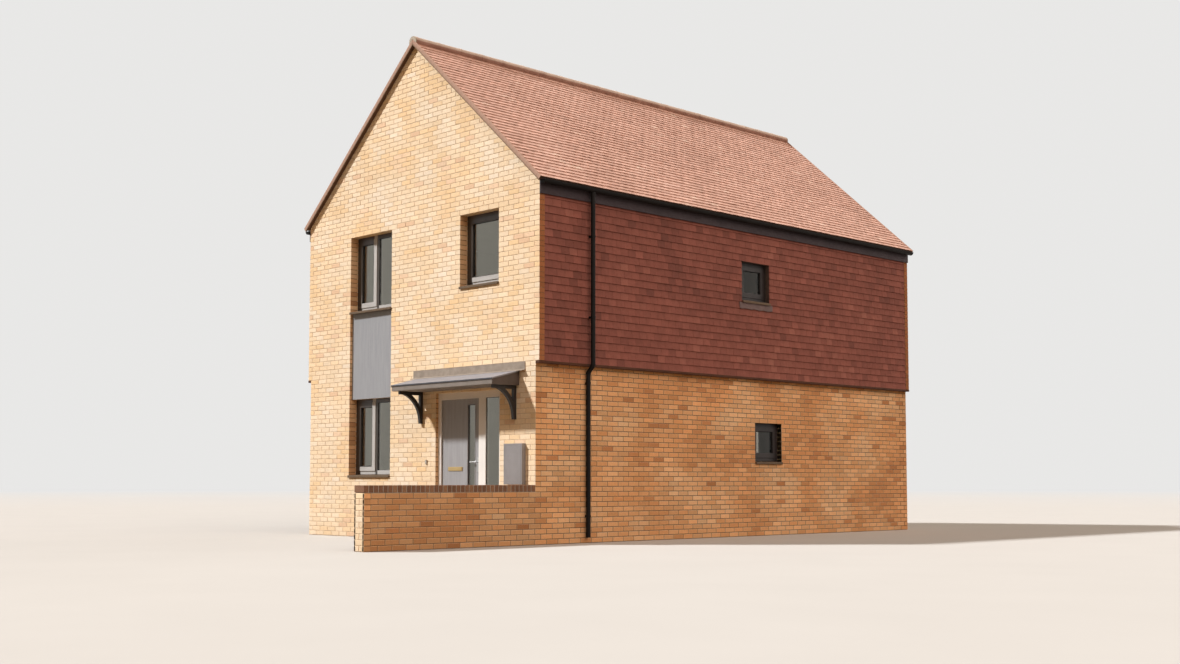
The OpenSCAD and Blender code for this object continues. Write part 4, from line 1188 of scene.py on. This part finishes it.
def build_floor():
    """Round floor that fades to the colour of the background far from the house."""
    mesh = bpy.data.meshes.new("floor")
    radii, spokes = (6, 12, 20, 32, 50, 80, 130, 220, 420), 64
    points = [(0, 0, FLOOR_Z)]
    for radius in radii:
        for i in range(spokes):
            angle = 2 * math.pi * i / spokes
            points.append((radius * math.cos(angle), radius * math.sin(angle), FLOOR_Z))
    faces = [[0, 1 + i, 1 + (i + 1) % spokes] for i in range(spokes)]
    for ring in range(len(radii) - 1):
        a = 1 + ring * spokes
        for i in range(spokes):
            j = (i + 1) % spokes
            faces.append([a + i, a + spokes + i, a + spokes + j, a + j])
    mesh.from_pydata(points, [], faces)
    floor = bpy.data.objects.new("floor", mesh)
    bpy.context.scene.collection.objects.link(floor)
    mesh.materials.append(floor_look(radii[-1]))


def floor_look(reach):
    """Pale floor, which glows like the background far out and gives back less light."""
    look = Look("floor", roughness=0.95, specular=0.1)
    seen = seen_rays(look.tree)
    grain = look.tones(0.6, 4, (0.515, 0.51, 0.5), (0.53, 0.525, 0.515))
    look.set("Base Color", look.mix(seen, FLOOR_LIGHT, grain))
    length = look.add("ShaderNodeVectorMath", {0: look.point}, operation="LENGTH")
    share = look.calc("DIVIDE", length.outputs["Value"], reach)
    far = look.calc("MULTIPLY", look.ramp(share, (0.07, 0.0), (0.3, 1.0)), seen)
    glow = look.add("ShaderNodeEmission", {"Color": BACKGROUND})
    blend = look.add("ShaderNodeMixShader", {0: far, 1: look.shader.outputs[0], 2: glow.outputs[0]})
    look.feed(look.tree.nodes["Material Output"].inputs["Surface"], blend.outputs[0])
    return look.material


def build_world():
    world = bpy.data.worlds.new("studio")
    bpy.context.scene.world = world
    world.use_nodes = True
    tree = world.node_tree
    sky = tree.nodes["Background"]
    seen = seen_rays(tree)
    color = tree.nodes.new("ShaderNodeMix")
    color.data_type = "RGBA"
    tree.links.new(seen, color.inputs[0])
    color.inputs[6].default_value = (*SKY_LIGHT, 1)
    color.inputs[7].default_value = (*BACKGROUND, 1)
    tree.links.new(color.outputs[2], sky.inputs["Color"])
    sky.inputs["Strength"].default_value = 1.0


def aim(thing, target):
    direction = Vector(target) - thing.location
    thing.rotation_euler = direction.to_track_quat("-Z", "Y").to_euler()


def build_lights():
    """A key from the upper left of the front, and broad warm fills from the right and behind."""
    lamps = (("key", (-4.6, -5.2, 6.7), 4.6, 4, (1.0, 0.985, 0.96)),
             ("fill", (10.0, -2.0, 9.0), 1.6, 60, (1.0, 0.81, 0.68)),
             ("rear", (2.0, 10.0, 7.0), 0.9, 60, (1.0, 0.86, 0.73)))
    for name, place, energy, spread, color in lamps:
        lamp = bpy.data.objects.new(name, bpy.data.lights.new(name, "SUN"))
        lamp.data.energy = energy
        lamp.data.angle = math.radians(spread)
        lamp.data.color = color
        lamp.location = place
        aim(lamp, (0, 0, 0))
        bpy.context.scene.collection.objects.link(lamp)


def build_camera():
    """The photograph's eye and direction. A little of its upward shift is tilt."""
    eye = Vector((17.969, -18.427, 0.893))
    ahead = Vector((-0.7277, 0.6859, 0.0))
    turn, tilt = math.radians(-1.1), math.radians(3.87)
    data = bpy.data.cameras.new("camera")
    data.lens = 43.64
    data.sensor_width = 36
    data.shift_y = 0.045
    data.clip_end = 500
    camera = bpy.data.objects.new("camera", data)
    camera.location = eye
    level = Vector((ahead.x * math.cos(turn) - ahead.y * math.sin(turn),
                    ahead.x * math.sin(turn) + ahead.y * math.cos(turn), 0)).normalized()
    aim(camera, eye + level * math.cos(tilt) + Vector((0, 0, math.sin(tilt))))
    bpy.context.scene.collection.objects.link(camera)
    bpy.context.scene.camera = camera


dress_nodes()
soften_nodes()
build_masonry()
roof_slope("roof_tiles_right", "right_roof", 1)
roof_slope("roof_tiles_left", "left_roof", -1)
tile_hanging("hung_tiles_right", "right_tile_hanging", 1)
tile_hanging("hung_tiles_left", "left_tile_hanging", -1)
build_coping()
slim_ridge()
gaskets("front_window_seals", "front_window_glass")
gaskets("side_window_seals", "side_window_glass")
gaskets("back_window_seals", "back_window_glass")
gaskets("door_glass_seals", "door_glass", LEAF)
window_aprons()
bell_push()
build_floor()
build_world()
build_lights()
build_camera()
bpy.context.scene.view_settings.view_transform = "Standard"
